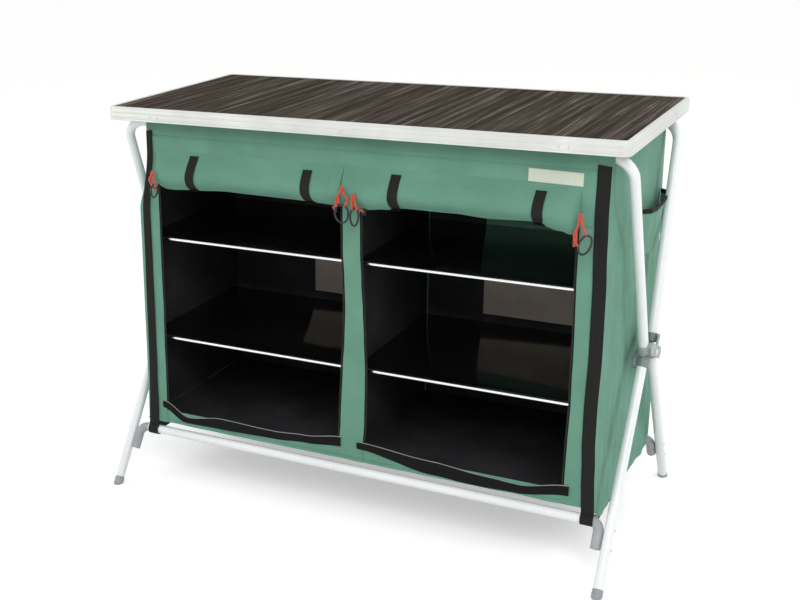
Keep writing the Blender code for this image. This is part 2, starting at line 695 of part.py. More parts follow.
def fold_wall(solid, side):
    """Give a flat side wall soft upright folds that die out at its edges and below the pocket."""
    for step in range(1, FOLD_COLUMNS):
        cut_across(solid, (0, FRONT_FACE * (2 * step / FOLD_COLUMNS - 1), 0), (0, 1, 0))
    for step in range(1, FOLD_ROWS + 1):
        cut_across(solid, (0, 0, WALL_BOTTOM + (FOLD_TOP - WALL_BOTTOM) * step / FOLD_ROWS), (0, 0, 1))
    for vert in solid.verts:
        across = (vert.co.y + FRONT_FACE) / (2 * FRONT_FACE)
        up = min(max((vert.co.z - WALL_BOTTOM) / (FOLD_TOP - WALL_BOTTOM), 0), 1)
        fade = math.sin(math.pi * min(max(across, 0), 1)) * math.sin(math.pi * up)
        vert.co.x += side * FOLD_DEPTH * fade * fold_offset(across)
    return solid


def ledge_box(low, high, height):
    """A sewn ledge under the edge of a shelf."""
    top = height - SHELF_THICKNESS / 2 - SEAT
    return box_solid((low, -SHELF_FRONT + LEDGE_SETBACK, top - LEDGE_THICKNESS),
                     (high, SHELF_BACK - LEDGE_SETBACK, top))


def side_wall(side):
    """A side wall with its bottom edge bound in a strap and a ledge for each shelf inside."""
    outline = wall_outline(FRONT_FACE, WALL_BOTTOM, WALL_FOOT_INSET)
    solids = [outline_solid([outline], "x", WALL_INNER, WALL_OUTER)]
    half_depth = FRONT_FACE - WALL_FOOT_INSET
    solids.append(box_solid((WALL_OUTER - CLOTH / 2, -half_depth, BASE_STRAP_BOTTOM),
                            (WALL_OUTER + WEBBING_THICKNESS, half_depth, BASE_STRAP_BOTTOM + BASE_STRAP_HEIGHT)))
    for height in SHELF_HEIGHTS:
        solids.append(ledge_box(WALL_INNER - LEDGE_WIDTH, WALL_INNER + CLOTH / 2, height))
    solid = fold_wall(join_solids(solids), 1)
    return solid if side > 0 else mirror_x(solid)


def centre_wall():
    outline = wall_outline(INNER_FACE - SEAT, HEM_HEIGHT + CLOTH + SEAT)
    solids = [outline_solid([outline], "x", -CLOTH / 2, CLOTH / 2)]
    reach = CLOTH / 2 + LEDGE_WIDTH
    for height in SHELF_HEIGHTS:
        solids.append(ledge_box(-reach, reach, height))
    return join_solids(solids)


def hung_panel(facing, end_height):
    """A panel that hangs from the sleeve round a top tube. Below the sleeve it reaches the side walls."""
    outlines = sleeve_outlines((facing * TOP_TUBE_Y, TOP_TUBE_Z), SLEEVE_INNER, SLEEVE_OUTER,
                               facing * FRONT_FACE, CLOTH, end_height)
    sleeve_end = LEG_X - TOP_BEND_RADIUS
    solid = outline_solid(outlines, "x", -sleeve_end, sleeve_end)
    shoulder = TOP_TUBE_Z - 2 * SLEEVE_OUTER
    cut_across(solid, (0, 0, shoulder), (0, 0, 1))
    for vert in solid.verts:
        if vert.co.z < shoulder + SEAT:
            vert.co.x = math.copysign(PANEL_END, vert.co.x)
    return solid


def make_walls():
    for name, side in SIDES:
        cloth_node(f"side_wall_{name}", side_wall(side))
    cloth_node("centre_wall", centre_wall(), BLACK_CLOTH)
    floor = box_solid((-PANEL_END, -INNER_FACE + SEAT, HEM_HEIGHT), (PANEL_END, INNER_FACE - SEAT, HEM_HEIGHT + CLOTH))
    cloth_node("cupboard_floor", floor, BLACK_CLOTH)
    cloth_node("back_wall", hung_panel(REAR, HEM_HEIGHT), BLACK_CLOTH)
    cloth_node("header", hung_panel(FRONT, HEADER_BOTTOM))


def make_front():
    """The front panel below the header: an apron and three stiles round two door openings."""
    top = HEADER_BOTTOM - SEAT
    outline = [(-PANEL_END, HEM_HEIGHT), (PANEL_END, HEM_HEIGHT), (PANEL_END, top), (STILE_EDGE, top),
               (STILE_EDGE, APRON_TOP), (OPENING_INNER, APRON_TOP), (OPENING_INNER, top),
               (-OPENING_INNER, top), (-OPENING_INNER, APRON_TOP), (-STILE_EDGE, APRON_TOP),
               (-STILE_EDGE, top), (-PANEL_END, top)]
    cloth_node("front_panel", outline_solid([outline], "y", -FRONT_FACE, -INNER_FACE))
    for name, side in SIDES:
        cloth_node(f"zip_track_{name}", zip_track(side), ZIP_BLACK)


def zip_track(side):
    """The zip round three sides of a door opening, joined to the dark band over its sill."""
    outer = side * (STILE_EDGE - SEAT)
    inner = side * (OPENING_INNER + SEAT)
    outer_lip = outer - side * ZIP_TAPE_WIDTH
    inner_lip = inner + side * ZIP_TAPE_WIDTH
    top = HEADER_BOTTOM - SEAT
    bottom = APRON_TOP + SEAT
    sill = bottom + ZIP_TAPE_WIDTH
    outline = [(outer, top), (outer, bottom), (inner, bottom), (inner, top), (inner_lip, top),
               (inner_lip, sill), (outer_lip, sill), (outer_lip, top)]
    track = outline_solid([outline], "y", -TRACK_FACE, -INNER_FACE)
    face = FRONT_FACE + SEAT
    band = outline_solid([band_outline(side)], "y", -face - BAND_THICKNESS, -face)
    return join_solids([track, band])


def band_outline(side):
    """A sagging band over the bottom of a door opening, as (x, z)."""
    inner = OPENING_INNER - BAND_OVERLAP
    outer = STILE_EDGE + BAND_OVERLAP
    bottom = []
    for share, sag in BAND_SAG_SHARES:
        across = outer + (inner - outer) * share
        bottom.append((side * across, BAND_END_HEIGHT - BAND_SAG * sag))
    top = [(across, height + BAND_HEIGHT) for across, height in reversed(bottom)]
    return bottom + top


def make_webbing():
    """Straps down the four corners, each with a loop round a cross tube."""
    face = FRONT_FACE + SEAT + WEBBING_THICKNESS
    for word, facing in ENDS:
        for name, side in SIDES:
            outlines = sleeve_outlines((facing * CROSS_TUBE_Y, CROSS_TUBE_HEIGHT), SLEEVE_INNER,
                                       SLEEVE_INNER + WEBBING_THICKNESS, facing * face, WEBBING_THICKNESS,
                                       WEBBING_TOP)
            middle = side * WEBBING_PLACE
            strap = outline_solid(outlines, "x", middle - WEBBING_WIDTH / 2, middle + WEBBING_WIDTH / 2)
            cloth_node(f"corner_webbing_{word}_{name}", strap, BLACK_WEBBING)


def roll_centre():
    return FRONT_FACE + SEAT + ROLL_THICKNESS / 2


def door_roll(side):
    """A rolled-up door: a soft flattened tube, thinner at its ends."""
    inner = OPENING_INNER + ROLL_END_MARGIN
    outer = STILE_EDGE - ROLL_END_MARGIN
    last = len(ROLL_RADIUS_SHARES) - 1
    points = []
    for index in range(last + 1):
        across = inner + (outer - inner) * index / last
        points.append((side * across, 0, ROLL_CENTRE_HEIGHT))
    solid = tube_solid(points, ROLL_HEIGHT / 2, radius_shares=ROLL_RADIUS_SHARES)
    bmesh.ops.scale(solid, vec=(1, ROLL_THICKNESS / ROLL_HEIGHT, 1), verts=solid.verts)
    bmesh.ops.translate(solid, vec=(0, -roll_centre(), 0), verts=solid.verts)
    return solid


def tie_strap(middle):
    """A strap sewn to the header, which runs over the front of the roll and back under it."""
    face = FRONT_FACE + SEAT
    outline = []
    for grow, order in ((0, 1), (TIE_THICKNESS, -1)):
        across = ROLL_THICKNESS / 2 + SEAT + grow
        up = ROLL_HEIGHT / 2 + SEAT + grow
        side = [(-face - grow, ROLL_CENTRE_HEIGHT + ROLL_HEIGHT / 2 + TIE_TAIL)]
        side.append((-face - grow, ROLL_CENTRE_HEIGHT + up * math.sin(math.radians(TIE_START_ANGLE))
                     + 2 * TIE_THICKNESS))
        for step in range(ARC_STEPS * 2 + 1):
            angle = math.radians(TIE_START_ANGLE + (TIE_END_ANGLE - TIE_START_ANGLE) * step / (ARC_STEPS * 2))
            side.append((-roll_centre() + across * math.cos(angle), ROLL_CENTRE_HEIGHT + up * math.sin(angle)))
        outline += side[::order]
    return outline_solid([outline], "x", middle - TIE_WIDTH / 2, middle + TIE_WIDTH / 2)


def make_doors():
    for name, side in SIDES:
        cloth_node(f"door_roll_{name}", door_roll(side))
        for word, place in zip(("inner", "outer"), TIE_PLACES):
            cloth_node(f"tie_strap_{name}_{word}", tie_strap(side * place), BLACK_WEBBING)


def wedge_solid(front, back, bottom, top, wall, bottom_depth, top_depth):
    """A box on the right wall that stands out further at its top than at its bottom."""
    solid = box_solid((wall, front, bottom), (wall + top_depth, back, top))
    for vert in solid.verts:
        if vert.co.x > wall and vert.co.z < (bottom + top) / 2:
            vert.co.x = wall + bottom_depth
    return solid


def make_pocket():
    wall = WALL_OUTER + SEAT
    slope = (POCKET_TOP_DEPTH - POCKET_BOTTOM_DEPTH) / (POCKET_TOP - POCKET_BOTTOM)
    shell = wedge_solid(POCKET_FRONT, POCKET_BACK, POCKET_BOTTOM, POCKET_TOP, wall, POCKET_BOTTOM_DEPTH,
                        POCKET_TOP_DEPTH)
    inner = wedge_solid(POCKET_FRONT + CLOTH, POCKET_BACK - CLOTH, POCKET_BOTTOM + CLOTH, POCKET_TOP + OVERRUN,
                        wall - OVERRUN, POCKET_BOTTOM_DEPTH + OVERRUN - CLOTH + slope * CLOTH,
                        POCKET_TOP_DEPTH + OVERRUN - CLOTH + slope * OVERRUN)
    cloth_node("side_pocket", boolean(shell, inner, 'DIFFERENCE'))


# Shelves
def make_shelves():
    """Four shelf boards, each with a trim round its front edge, thicker than the board."""
    half = SHELF_THICKNESS / 2
    bold = half + TRIM_WALL
    front = -SHELF_FRONT
    lip = front + TRIM_DEPTH
    section = [(front, -bold), (lip, -bold), (lip, -half), (SHELF_BACK, -half), (SHELF_BACK, half),
               (lip, half), (lip, bold), (front, bold)]
    for level, height in zip(("lower", "upper"), SHELF_HEIGHTS):
        outline = [(across, height + up) for across, up in section]
        for name, side in SIDES:
            low, high = sorted((side * (CLOTH / 2 + SHELF_SIDE_GAP), side * (WALL_INNER - SHELF_SIDE_GAP)))
            make_node(f"shelf_{level}_{name}", outline_solid([outline], "x", low, high), SHELF_BLACK,
                      ((low + high) / 2, 0, height), CUPBOARD)


# Zip sliders
def zip_slider(centre):
    """A slider on its track with a pull loop hanging from it."""
    back = -TRACK_FACE - SEAT
    front = back - SLIDER_THICKNESS
    half = SLIDER_WIDTH / 2
    body = box_solid((centre - half, front, SLIDER_HEIGHT - SLIDER_LENGTH / 2),
                     (centre + half, back, SLIDER_HEIGHT + SLIDER_LENGTH / 2))
    wide = PULL_WIDTH / 2 - PULL_WIRE_RADIUS
    tall = PULL_LENGTH / 2 - PULL_WIRE_RADIUS
    loop_z = SLIDER_HEIGHT - tall
    loop_y = front - PULL_WIRE_RADIUS / 2
    loop = []
    for step in range(ARC_STEPS * 2):
        angle = math.pi * step / ARC_STEPS
        loop.append((centre + wide * math.cos(angle), loop_y, loop_z + tall * math.sin(angle)))
    return boolean(body, tube_solid(loop, PULL_WIRE_RADIUS, resolution=2, closed=True), 'UNION')


def make_sliders():
    outer = STILE_EDGE - SEAT - ZIP_TAPE_WIDTH / 2
    inner = CENTRE_STILE_WIDTH / 2 + SEAT + ZIP_TAPE_WIDTH / 2
    for name, place in (("left_outer", -outer), ("left_inner", -inner), ("right_inner", inner),
                        ("right_outer", outer)):
        make_node(f"zip_slider_{name}", zip_slider(place), PULL_ORANGE, (place, -TRACK_FACE, SLIDER_HEIGHT),
                  CUPBOARD)


make_tabletop()
make_upper_tube("front_upper_tube", FRONT, FRAME_A)
make_upper_tube("rear_upper_tube", REAR, FRAME_B)
make_lower_parts("rear", REAR, FRAME_A)
make_lower_parts("front", FRONT, FRAME_B)
make_hubs()
make_walls()
make_front()
make_webbing()
make_doors()
make_pocket()
make_shelves()
make_sliders()
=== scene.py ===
"""Looks of the fabric camp kitchen cupboard: finishes, cloth, tubes, cords and stitching on the fixed frame."""
from functools import partial
from math import acos, cos, degrees, dist, exp, hypot, pi, radians, sin, sqrt, tan

import bmesh
import bpy
from mathutils import Matrix, Vector, noise


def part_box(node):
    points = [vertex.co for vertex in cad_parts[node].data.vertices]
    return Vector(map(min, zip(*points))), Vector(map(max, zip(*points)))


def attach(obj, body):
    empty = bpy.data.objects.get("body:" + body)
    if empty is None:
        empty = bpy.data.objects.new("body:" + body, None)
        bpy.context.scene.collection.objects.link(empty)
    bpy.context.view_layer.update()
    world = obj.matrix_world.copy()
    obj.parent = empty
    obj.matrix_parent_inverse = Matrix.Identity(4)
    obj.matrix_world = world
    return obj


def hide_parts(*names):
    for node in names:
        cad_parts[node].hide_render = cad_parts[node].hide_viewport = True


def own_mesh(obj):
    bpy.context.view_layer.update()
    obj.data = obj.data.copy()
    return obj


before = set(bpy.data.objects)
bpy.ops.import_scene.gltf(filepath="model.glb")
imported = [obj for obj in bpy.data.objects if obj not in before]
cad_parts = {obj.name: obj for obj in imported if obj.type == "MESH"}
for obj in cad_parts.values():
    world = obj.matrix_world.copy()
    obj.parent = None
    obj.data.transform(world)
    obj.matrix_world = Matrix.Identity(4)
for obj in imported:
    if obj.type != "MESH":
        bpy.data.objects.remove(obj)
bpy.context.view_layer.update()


def metres(table):
    """Turn the millimetres of a number, or of a table at any depth, into metres."""
    if isinstance(table, dict):
        return {key: metres(row) for key, row in table.items()}
    return tuple(metres(row) for row in table) if isinstance(table, tuple) else table / 1000


# Camera, fitted to the corners of the tabletop and the feet
CAMERA_PLACE = (0.9711, -2.3718, 1.2344)
CAMERA_AZIMUTH = 30.381
CAMERA_ELEVATION = 17.713
CAMERA_ROLL = -1.6035
CAMERA_LENS = 57.199
CAMERA_SENSOR = 36.0
CAMERA_SHIFT = 0.22627

# Places read from the frame
TUBE_LOW, TUBE_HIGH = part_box("front_cross_tube")
TUBE_RADIUS = (TUBE_HIGH.z - TUBE_LOW.z) / 2
CROSS_Y = -(TUBE_HIGH.y + TUBE_LOW.y) / 2
CROSS_Z = (TUBE_HIGH.z + TUBE_LOW.z) / 2
CROSS_REACH = TUBE_HIGH.x
UPPER_LOW, UPPER_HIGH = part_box("front_upper_tube")
TOP_Y = -(UPPER_LOW.y + TUBE_RADIUS)
TOP_Z = UPPER_HIGH.z - TUBE_RADIUS
LEG_X = UPPER_HIGH.x - TUBE_RADIUS
PIN_LOW, PIN_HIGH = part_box("hub_pin_right")
HUB_Z = (PIN_LOW.z + PIN_HIGH.z) / 2
HEADER_LOW, HEADER_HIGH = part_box("header")
FACE_Y = -HEADER_LOW.y
SLEEVE_RADIUS = HEADER_HIGH.z - TOP_Z
WALL_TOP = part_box("centre_wall")[1].z
HEM_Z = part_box("front_panel")[0].z
SIDES = (("left", -1), ("right", 1))
ENDS = (("front", -1), ("rear", 1))

# Sizes repeated from the construction
TOP_BEND = 0.046
TOP_LEAN = 0.0095
HUB_SPREAD = 0.028
FOOT_CAP = 0.012
ELBOW_X = 0.5042
ELBOW_END_Z = 0.070
WALL_OUTER = 0.490
STILE_EDGE = 0.4345
CENTRE_STILE = 0.025
APRON_TOP = 0.163
CLOTH = 0.0011
SEAT = 0.0003

# Worked details of the frame: where the tubes begin outside the hub, the bend of the elbow, its mouth and its
# rounded end as (distance from the end, share of the radius), and rivet heads as (radius, height)
UPPER_START = 0.0133
LOWER_START = 0.0113
ELBOW_BEND = 0.018
ELBOW_MOUTH = ((0, 0.93), (0.0003, 0.975), (0.0009, 1.0), (0.0016, 1.0))
ELBOW_TIP = ((0.0012, 0.985), (0.0006, 0.94), (0, 0.86))
LEG_RIVET = (0.0028, 0.0016)
LEG_RIVET_HEIGHTS = (0.1045, 0.0737)
RAIL_RIVET = (0.0021, 0.0009)


# Tools for building
def named(item, name):
    item.name = item.data.name = name
    return item


def add_object(adder, name, **options):
    """Add one primitive with nothing else selected, and name it."""
    bpy.ops.object.select_all(action='DESELECT')
    adder(**options)
    return named(bpy.context.object, name)


def put_in_scene(name, data):
    item = bpy.data.objects.new(name, data)
    bpy.context.scene.collection.objects.link(item)
    return item


def activate(*items):
    """Select only these objects, with the first of them active."""
    bpy.ops.object.select_all(action='DESELECT')
    for item in items:
        item.select_set(True)
    bpy.context.view_layer.objects.active = items[0]


def edit(item, operator, chosen=None, edges=False, **options):
    """Run one edit-mode operator on the faces or edges that are chosen, or on the whole mesh."""
    activate(item)
    bpy.ops.object.mode_set(mode='EDIT')
    bpy.ops.mesh.select_mode(type='EDGE' if edges else 'FACE')
    bpy.ops.mesh.select_all(action='DESELECT' if chosen else 'SELECT')
    if chosen:
        bpy.ops.object.mode_set(mode='OBJECT')
        for part in item.data.edges if edges else item.data.polygons:
            part.select = chosen(part)
        bpy.ops.object.mode_set(mode='EDIT')
    operator(**options)
    bpy.ops.object.mode_set(mode='OBJECT')


def modify(item, kind, **settings):
    """Add a modifier, set it up and apply it."""
    activate(item)
    modifier = item.modifiers.new(kind.lower(), kind)
    for name, value in settings.items():
        setattr(modifier, name, value)
    bpy.ops.object.modifier_apply(modifier=modifier.name)


def round_edges(item, width, segments, angle):
    modify(item, 'BEVEL', width=width, segments=segments, limit_method='ANGLE', angle_limit=radians(angle))


def apply_place(item):
    activate(item)
    bpy.ops.object.transform_apply(location=True, rotation=True, scale=True)


def settle(item):
    """Apply the object's place to its mesh and shade it smooth between sharp edges."""
    apply_place(item)
    bpy.ops.object.shade_smooth_by_angle(angle=radians(38))
    return item


def face_out(item, weld=0.0):
    """Merge the doubles, where they lie this close, point all faces outwards and settle the piece."""
    if weld:
        edit(item, bpy.ops.mesh.remove_doubles, threshold=weld)
    edit(item, bpy.ops.mesh.normals_make_consistent, inside=False)
    return settle(item)


def dress(item, material, *nodes, body="cupboard", slot=None):
    """Give a piece its material and the body it rides on, and hide the nodes it stands for."""
    item.data.materials.clear()
    item.data.materials.append(material)
    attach(item, body)
    slot or SLOTS[material]
    if nodes:
        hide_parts(*nodes)
    return item


def join(items, name):
    activate(*items)
    bpy.ops.object.join()
    return named(bpy.context.object, name)


def block(name, centre, size):
    """A box round its centre."""
    item = add_object(bpy.ops.mesh.primitive_cube_add, name, size=1, location=centre)
    item.scale = size
    apply_place(item)
    return item


def panel(name, columns, rows, size, place, thickness=CLOTH, closed=False):
    """A sheet of cloth: a grid whose points go to place(across, up), each from 0 to 1."""
    item = add_object(bpy.ops.mesh.primitive_grid_add, name, size=1, x_subdivisions=columns,
                      y_subdivisions=rows)
    for loop_uv in item.data.uv_layers.active.data:
        loop_uv.uv = (loop_uv.uv[0] * size[0], loop_uv.uv[1] * size[1])
    for vertex in item.data.vertices:
        vertex.co = place(clamp(vertex.co.x + 0.5), clamp(vertex.co.y + 0.5))
    if not closed:
        modify(item, 'SOLIDIFY', thickness=thickness, offset=0, use_even_offset=False)
    return face_out(item, 0.00001 if closed else 0)


def tube(name, points, radius, closed=False, resolution=3, shares=None):
    """A round tube or cord along points, made a mesh with its caps welded."""
    curve = bpy.data.curves.new(name, 'CURVE')
    curve.dimensions = '3D'
    curve.bevel_depth = radius
    curve.bevel_resolution = resolution
    curve.use_fill_caps = not closed
    spline = curve.splines.new('POLY')
    spline.points.add(len(points) - 1)
    for index, place in enumerate(points):
        spline.points[index].co = (*place, 1)
        if shares:
            spline.points[index].radius = shares[index]
    spline.use_cyclic_u = closed
    activate(put_in_scene(name, curve))
    bpy.ops.object.convert(target='MESH')
    return face_out(bpy.context.object, 0.00001)


def frame_tube(name, points, material, body, node, shares=None):
    return dress(tube(name, points, TUBE_RADIUS, resolution=13, shares=shares), material, node, body=body)


def fine_copy(node, bevel, segments=2):
    """A copy of a rigid node with its triangles merged and its edges rounded."""
    item = put_in_scene(f"{node}_finished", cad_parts[node].data.copy())
    edit(item, bpy.ops.mesh.remove_doubles, threshold=0.00002)
    edit(item, bpy.ops.mesh.dissolve_limited, angle_limit=radians(1))
    round_edges(item, bevel, segments, 30)
    return settle(item)


def moulded_copy(node):
    """A copy of a rigid node with every edge rounded, as a moulding has them."""
    item = put_in_scene(f"{node}_moulded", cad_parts[node].data.copy())
    edit(item, bpy.ops.mesh.remove_doubles, threshold=0.00002)
    modify(item, 'REMESH', mode='VOXEL', voxel_size=0.0008)
    modify(item, 'SMOOTH', factor=0.5, iterations=4)
    return settle(item)


# Tools for shapes
def clamp(share):
    return min(max(share, 0), 1)


def ease(share):
    share = clamp(share)
    return share * share * (3 - 2 * share)


def hump(distance, width):
    """A soft bump of height 1 that fades with the distance from its middle."""
    return exp(-(distance / width) ** 2)


def ripple(across, up, length, seed):
    """Soft unevenness of hand-sewn cloth, from -1 to 1, that changes over about this length."""
    return noise.noise(Vector((across / length, up / length, seed)))


def wander(*place):
    """Slow unevenness along a line, from -1 to 1."""
    return noise.noise(Vector(place))


def between(table, across):
    """Read a curve through (place, value) pairs at a place, eased from point to point."""
    if across <= table[0][0]:
        return table[0][1]
    for (start, low), (end, high) in zip(table, table[1:]):
        if across <= end:
            return low + (high - low) * ease((across - start) / (end - start))
    return table[-1][1]


def steps_along(count):
    """Evenly spaced shares from 0 to 1."""
    return [step / (count - 1) for step in range(count)]


def rounded_path(start, corner, end, radius, steps):
    """Points from start to end with the corner rounded."""
    start, corner, end = Vector(start), Vector(corner), Vector(end)
    back = (start - corner).normalized()
    ahead = (end - corner).normalized()
    half_angle = back.angle(ahead) / 2
    reach = radius / tan(half_angle)
    centre = corner + (back + ahead).normalized() * (radius / sin(half_angle))
    first = corner + back * reach - centre
    last = corner + ahead * reach - centre
    sweep = first.angle(last)
    arc = [centre + (first * sin((1 - share) * sweep) + last * sin(share * sweep)) / sin(sweep)
           for share in steps_along(steps + 1)]
    return [start, *arc, end]


def path_length(points):
    return sum(dist(first, second) for first, second in zip(points, points[1:]))


def along_path(points, share):
    """The point at a share of the length of a path."""
    target = share * path_length(points)
    for first, second in zip(points, points[1:]):
        step = dist(first, second)
        if target <= step:
            part = target / step if step else 0
            return [a + (b - a) * part for a, b in zip(first, second)]
        target -= step
    return list(points[-1])


# Materials
def colour(code):
    """An sRGB hex code as linear colour."""
    channels = [int(code[place:place + 2], 16) / 255 for place in (0, 2, 4)]
    return (*[c / 12.92 if c <= 0.04045 else ((c + 0.055) / 1.055) ** 2.4 for c in channels], 1.0)


def fill(tree, socket, value):
    """Link a socket to another node's output, or give it a constant."""
    if isinstance(value, bpy.types.NodeSocket):
        tree.links.new(value, socket)
    else:
        socket.default_value = value


def add_node(tree, kind, take=None, **settings):
    """Add a shader node, fill the inputs and set the properties that are named, and give its output."""
    item = tree.nodes.new("ShaderNode" + kind)
    for name, value in settings.items():
        socket = item.inputs[int(name[1:])] if name[0] == "_" else item.inputs.get(name.replace("_", " "))
        if name == "stops":
            elements = item.color_ramp.elements
            for index, (place, code) in enumerate(value):
                element = elements[index] if index < 2 else elements.new(place)
                element.position, element.color = place, colour(code)
        elif socket is None:
            setattr(item, name, value)
        else:
            fill(tree, socket, value)
    return item.outputs[take] if take else item.outputs.get("Fac", item.outputs[0] if item.outputs else None)


def new_material(name, roughness, metallic=0.0, **constants):
    """A new material, given as the tool that adds its nodes and the tool that fills its shader's inputs."""
    material = bpy.data.materials.new(name)
    material.use_nodes = True
    tree = material.node_tree
    inputs = tree.nodes["Principled BSDF"].inputs

    def finish(**values):
        for socket, value in values.items():
            fill(tree, inputs[socket.replace("_", " ")], value)
        return material

    finish(Roughness=roughness, Metallic=metallic, **constants)
    return partial(add_node, tree), finish


def woven_polyester(name, dark, light, thread, sheen=0.05, roughness=0.82, gloss=0.3):
    """Coated plain-weave polyester: a matt, even face with a faint grid of threads and soft tonal drift."""
    add, finish = new_material(name, roughness, Sheen_Weight=sheen, Sheen_Roughness=0.45,
                               Specular_IOR_Level=gloss)
    place = add("TexCoord", take="UV")
    stretch = add("Mapping", Scale=(1 / thread, 1 / thread, 1 / thread), Vector=place)
    warp, weft = [add("TexWave", Scale=0.5, bands_direction=axis, Vector=stretch) for axis in "XY"]
    weave = add("Math", operation='MULTIPLY', _0=warp, _1=weft)
    drift = add("TexNoise", Scale=9.0, Detail=3.0, Vector=place)
    slub = add("TexNoise", Scale=260.0, Detail=2.0, Vector=place)
    tone = add("Math", operation='MULTIPLY_ADD', _0=slub, _1=0.25, _2=drift)
    height = add("Math", operation='ADD', _0=weave, _1=slub)
    return finish(Base_Color=add("ValToRGB", stops=((0.42, dark), (0.82, light)), Fac=tone),
                  Normal=add("Bump", Strength=0.35, Distance=0.0002, Height=height))


def ribbed_webbing(name, dark, light, pitch, gloss=0.2):
    """Woven polyester tape: fine ribs across its width, with a dry face."""
    add, finish = new_material(name, 0.68, Specular_IOR_Level=gloss)
    stretch = add("Mapping", Scale=(1 / pitch, 1 / pitch, 1), Vector=add("TexCoord", take="UV"))
    ribs = add("TexWave", Scale=0.5, Distortion=0.6, bands_direction='Y', Vector=stretch)
    lines = add("TexWave", Scale=0.5, bands_direction='X', Vector=stretch)
    mix = add("Math", operation='MULTIPLY', _0=ribs, _1=lines)
    return finish(Base_Color=add("ValToRGB", stops=((0.1, dark), (0.9, light)), Fac=mix),
                  Normal=add("Bump", Strength=0.5, Distance=0.0003, Height=mix))


def powder_coat(name, low, high):
    """Polyester powder coat on steel tube: white, satin, with the faint orange peel that baking leaves."""
    add, finish = new_material(name, 0.34, Coat_Weight=0.25, Coat_Roughness=0.2)
    place = add("TexCoord", take="Object")
    peel = add("TexNoise", Scale=700.0, Detail=2.0, Vector=place)
    drift = add("TexNoise", Scale=6.0, Detail=3.0, Vector=place)
    return finish(Base_Color=add("ValToRGB", stops=((0.3, low), (0.7, high)), Fac=drift),
                  Roughness=add("MapRange", To_Min=0.28, To_Max=0.42, Value=drift),
                  Normal=add("Bump", Strength=0.12, Distance=0.0002, Height=peel))


def extruded_rail(name, low, high, scale):
    """Pale anodised aluminium extrusion: satin, with draw lines along its length."""
    add, finish = new_material(name, 0.42, 0.25)
    place = add("TexCoord", take="Object")
    lines = add("TexNoise", Scale=1.0, Detail=4.0, Vector=add("Mapping", Scale=scale, Vector=place))
    drift = add("TexNoise", Scale=14.0, Detail=4.0, Vector=place)
    tone = add("Math", operation='MULTIPLY_ADD', _0=lines, _1=0.5, _2=drift)
    return finish(Base_Color=add("ValToRGB", stops=((0.5, low), (1.0, high)), Fac=tone),
                  Roughness=add("MapRange", To_Min=0.34, To_Max=0.52, Value=lines),
                  Normal=add("Bump", Strength=0.08, Distance=0.0002, Height=lines))


def streaked_laminate(name):
    """High-pressure laminate in a dark wood print: satin melamine over streaks that run front to back."""
    add, finish = new_material(name, 0.18, Specular_IOR_Level=0.0)
    place = add("TexCoord", take="Object")
    broad, fine = [add("Mapping", Scale=scale, Vector=place) for scale in ((74, 1.4, 1), (330, 5.0, 1))]
    bands = add("TexNoise", Scale=1.0, Detail=5.0, Roughness=0.7, Distortion=0.35, Vector=broad)
    grain = add("TexNoise", Scale=1.0, Detail=3.0, Roughness=0.65, Vector=fine)
    mix = add("Math", operation='MULTIPLY_ADD', _0=grain, _1=0.55, _2=bands)
    stops = ((0.60, "3A322E"), (0.74, "48413B"), (0.84, "59524B"), (0.96, "807972"))
    return finish(Base_Color=add("ValToRGB", stops=stops, Fac=mix),
                  Roughness=add("MapRange", To_Min=0.16, To_Max=0.24, Value=grain),
                  Normal=add("Bump", Strength=0.05, Distance=0.0001, Height=mix))


def moulded_plastic(name, low, high, roughness=0.46):
    """Injection-moulded nylon or ABS: an even matt colour with a fine spark-eroded grain."""
    add, finish = new_material(name, roughness)
    place = add("TexCoord", take="Object")
    grain = add("TexNoise", Scale=1600.0, Detail=2.0, Vector=place)
    drift = add("TexNoise", Scale=35.0, Detail=3.0, Vector=place)
    return finish(Base_Color=add("ValToRGB", stops=((0.35, low), (0.7, high)), Fac=drift),
                  Normal=add("Bump", Strength=0.2, Distance=0.0002, Height=grain))


def bare_metal(name, low, high, roughness):
    """Drawn or turned metal, left bare, with faint scuffs that break up its gloss."""
    add, finish = new_material(name, roughness, 1.0)
    scuff = add("TexNoise", Scale=420.0, Detail=4.0, Vector=add("TexCoord", take="Object"))
    return finish(Base_Color=add("ValToRGB", stops=((0.3, low), (0.7, high)), Fac=scuff),
                  Roughness=add("MapRange", To_Min=roughness * 0.8, To_Max=roughness * 1.3, Value=scuff))


def polished_shelf(name):
    """Melamine-faced board: a deep black that mirrors what stands on it, with very fine handling marks."""
    add, finish = new_material(name, 0.09, Coat_Weight=0.3, Coat_Roughness=0.04)
    marks = add("TexNoise", Scale=60.0, Detail=6.0, Roughness=0.7, Vector=add("TexCoord", take="Object"))
    return finish(Base_Color=add("ValToRGB", stops=((0.3, "070708"), (0.8, "141416")), Fac=marks),
                  Roughness=add("MapRange", To_Min=0.06, To_Max=0.16, Value=marks))


def braided_cord(name, low, high):
    """Braided polyester cord: two plies crossing in a fine diamond, drawn at 1.6 mm so that it shows."""
    add, finish = new_material(name, 0.65, Sheen_Weight=0.25)
    braid = add("TexVoronoi", Scale=620.0, Vector=add("TexCoord", take="Object"))
    return finish(Base_Color=add("ValToRGB", stops=((0.1, high), (0.8, low)), Fac=braid),
                  Normal=add("Bump", Strength=0.6, Distance=0.0004, invert=True, Height=braid))


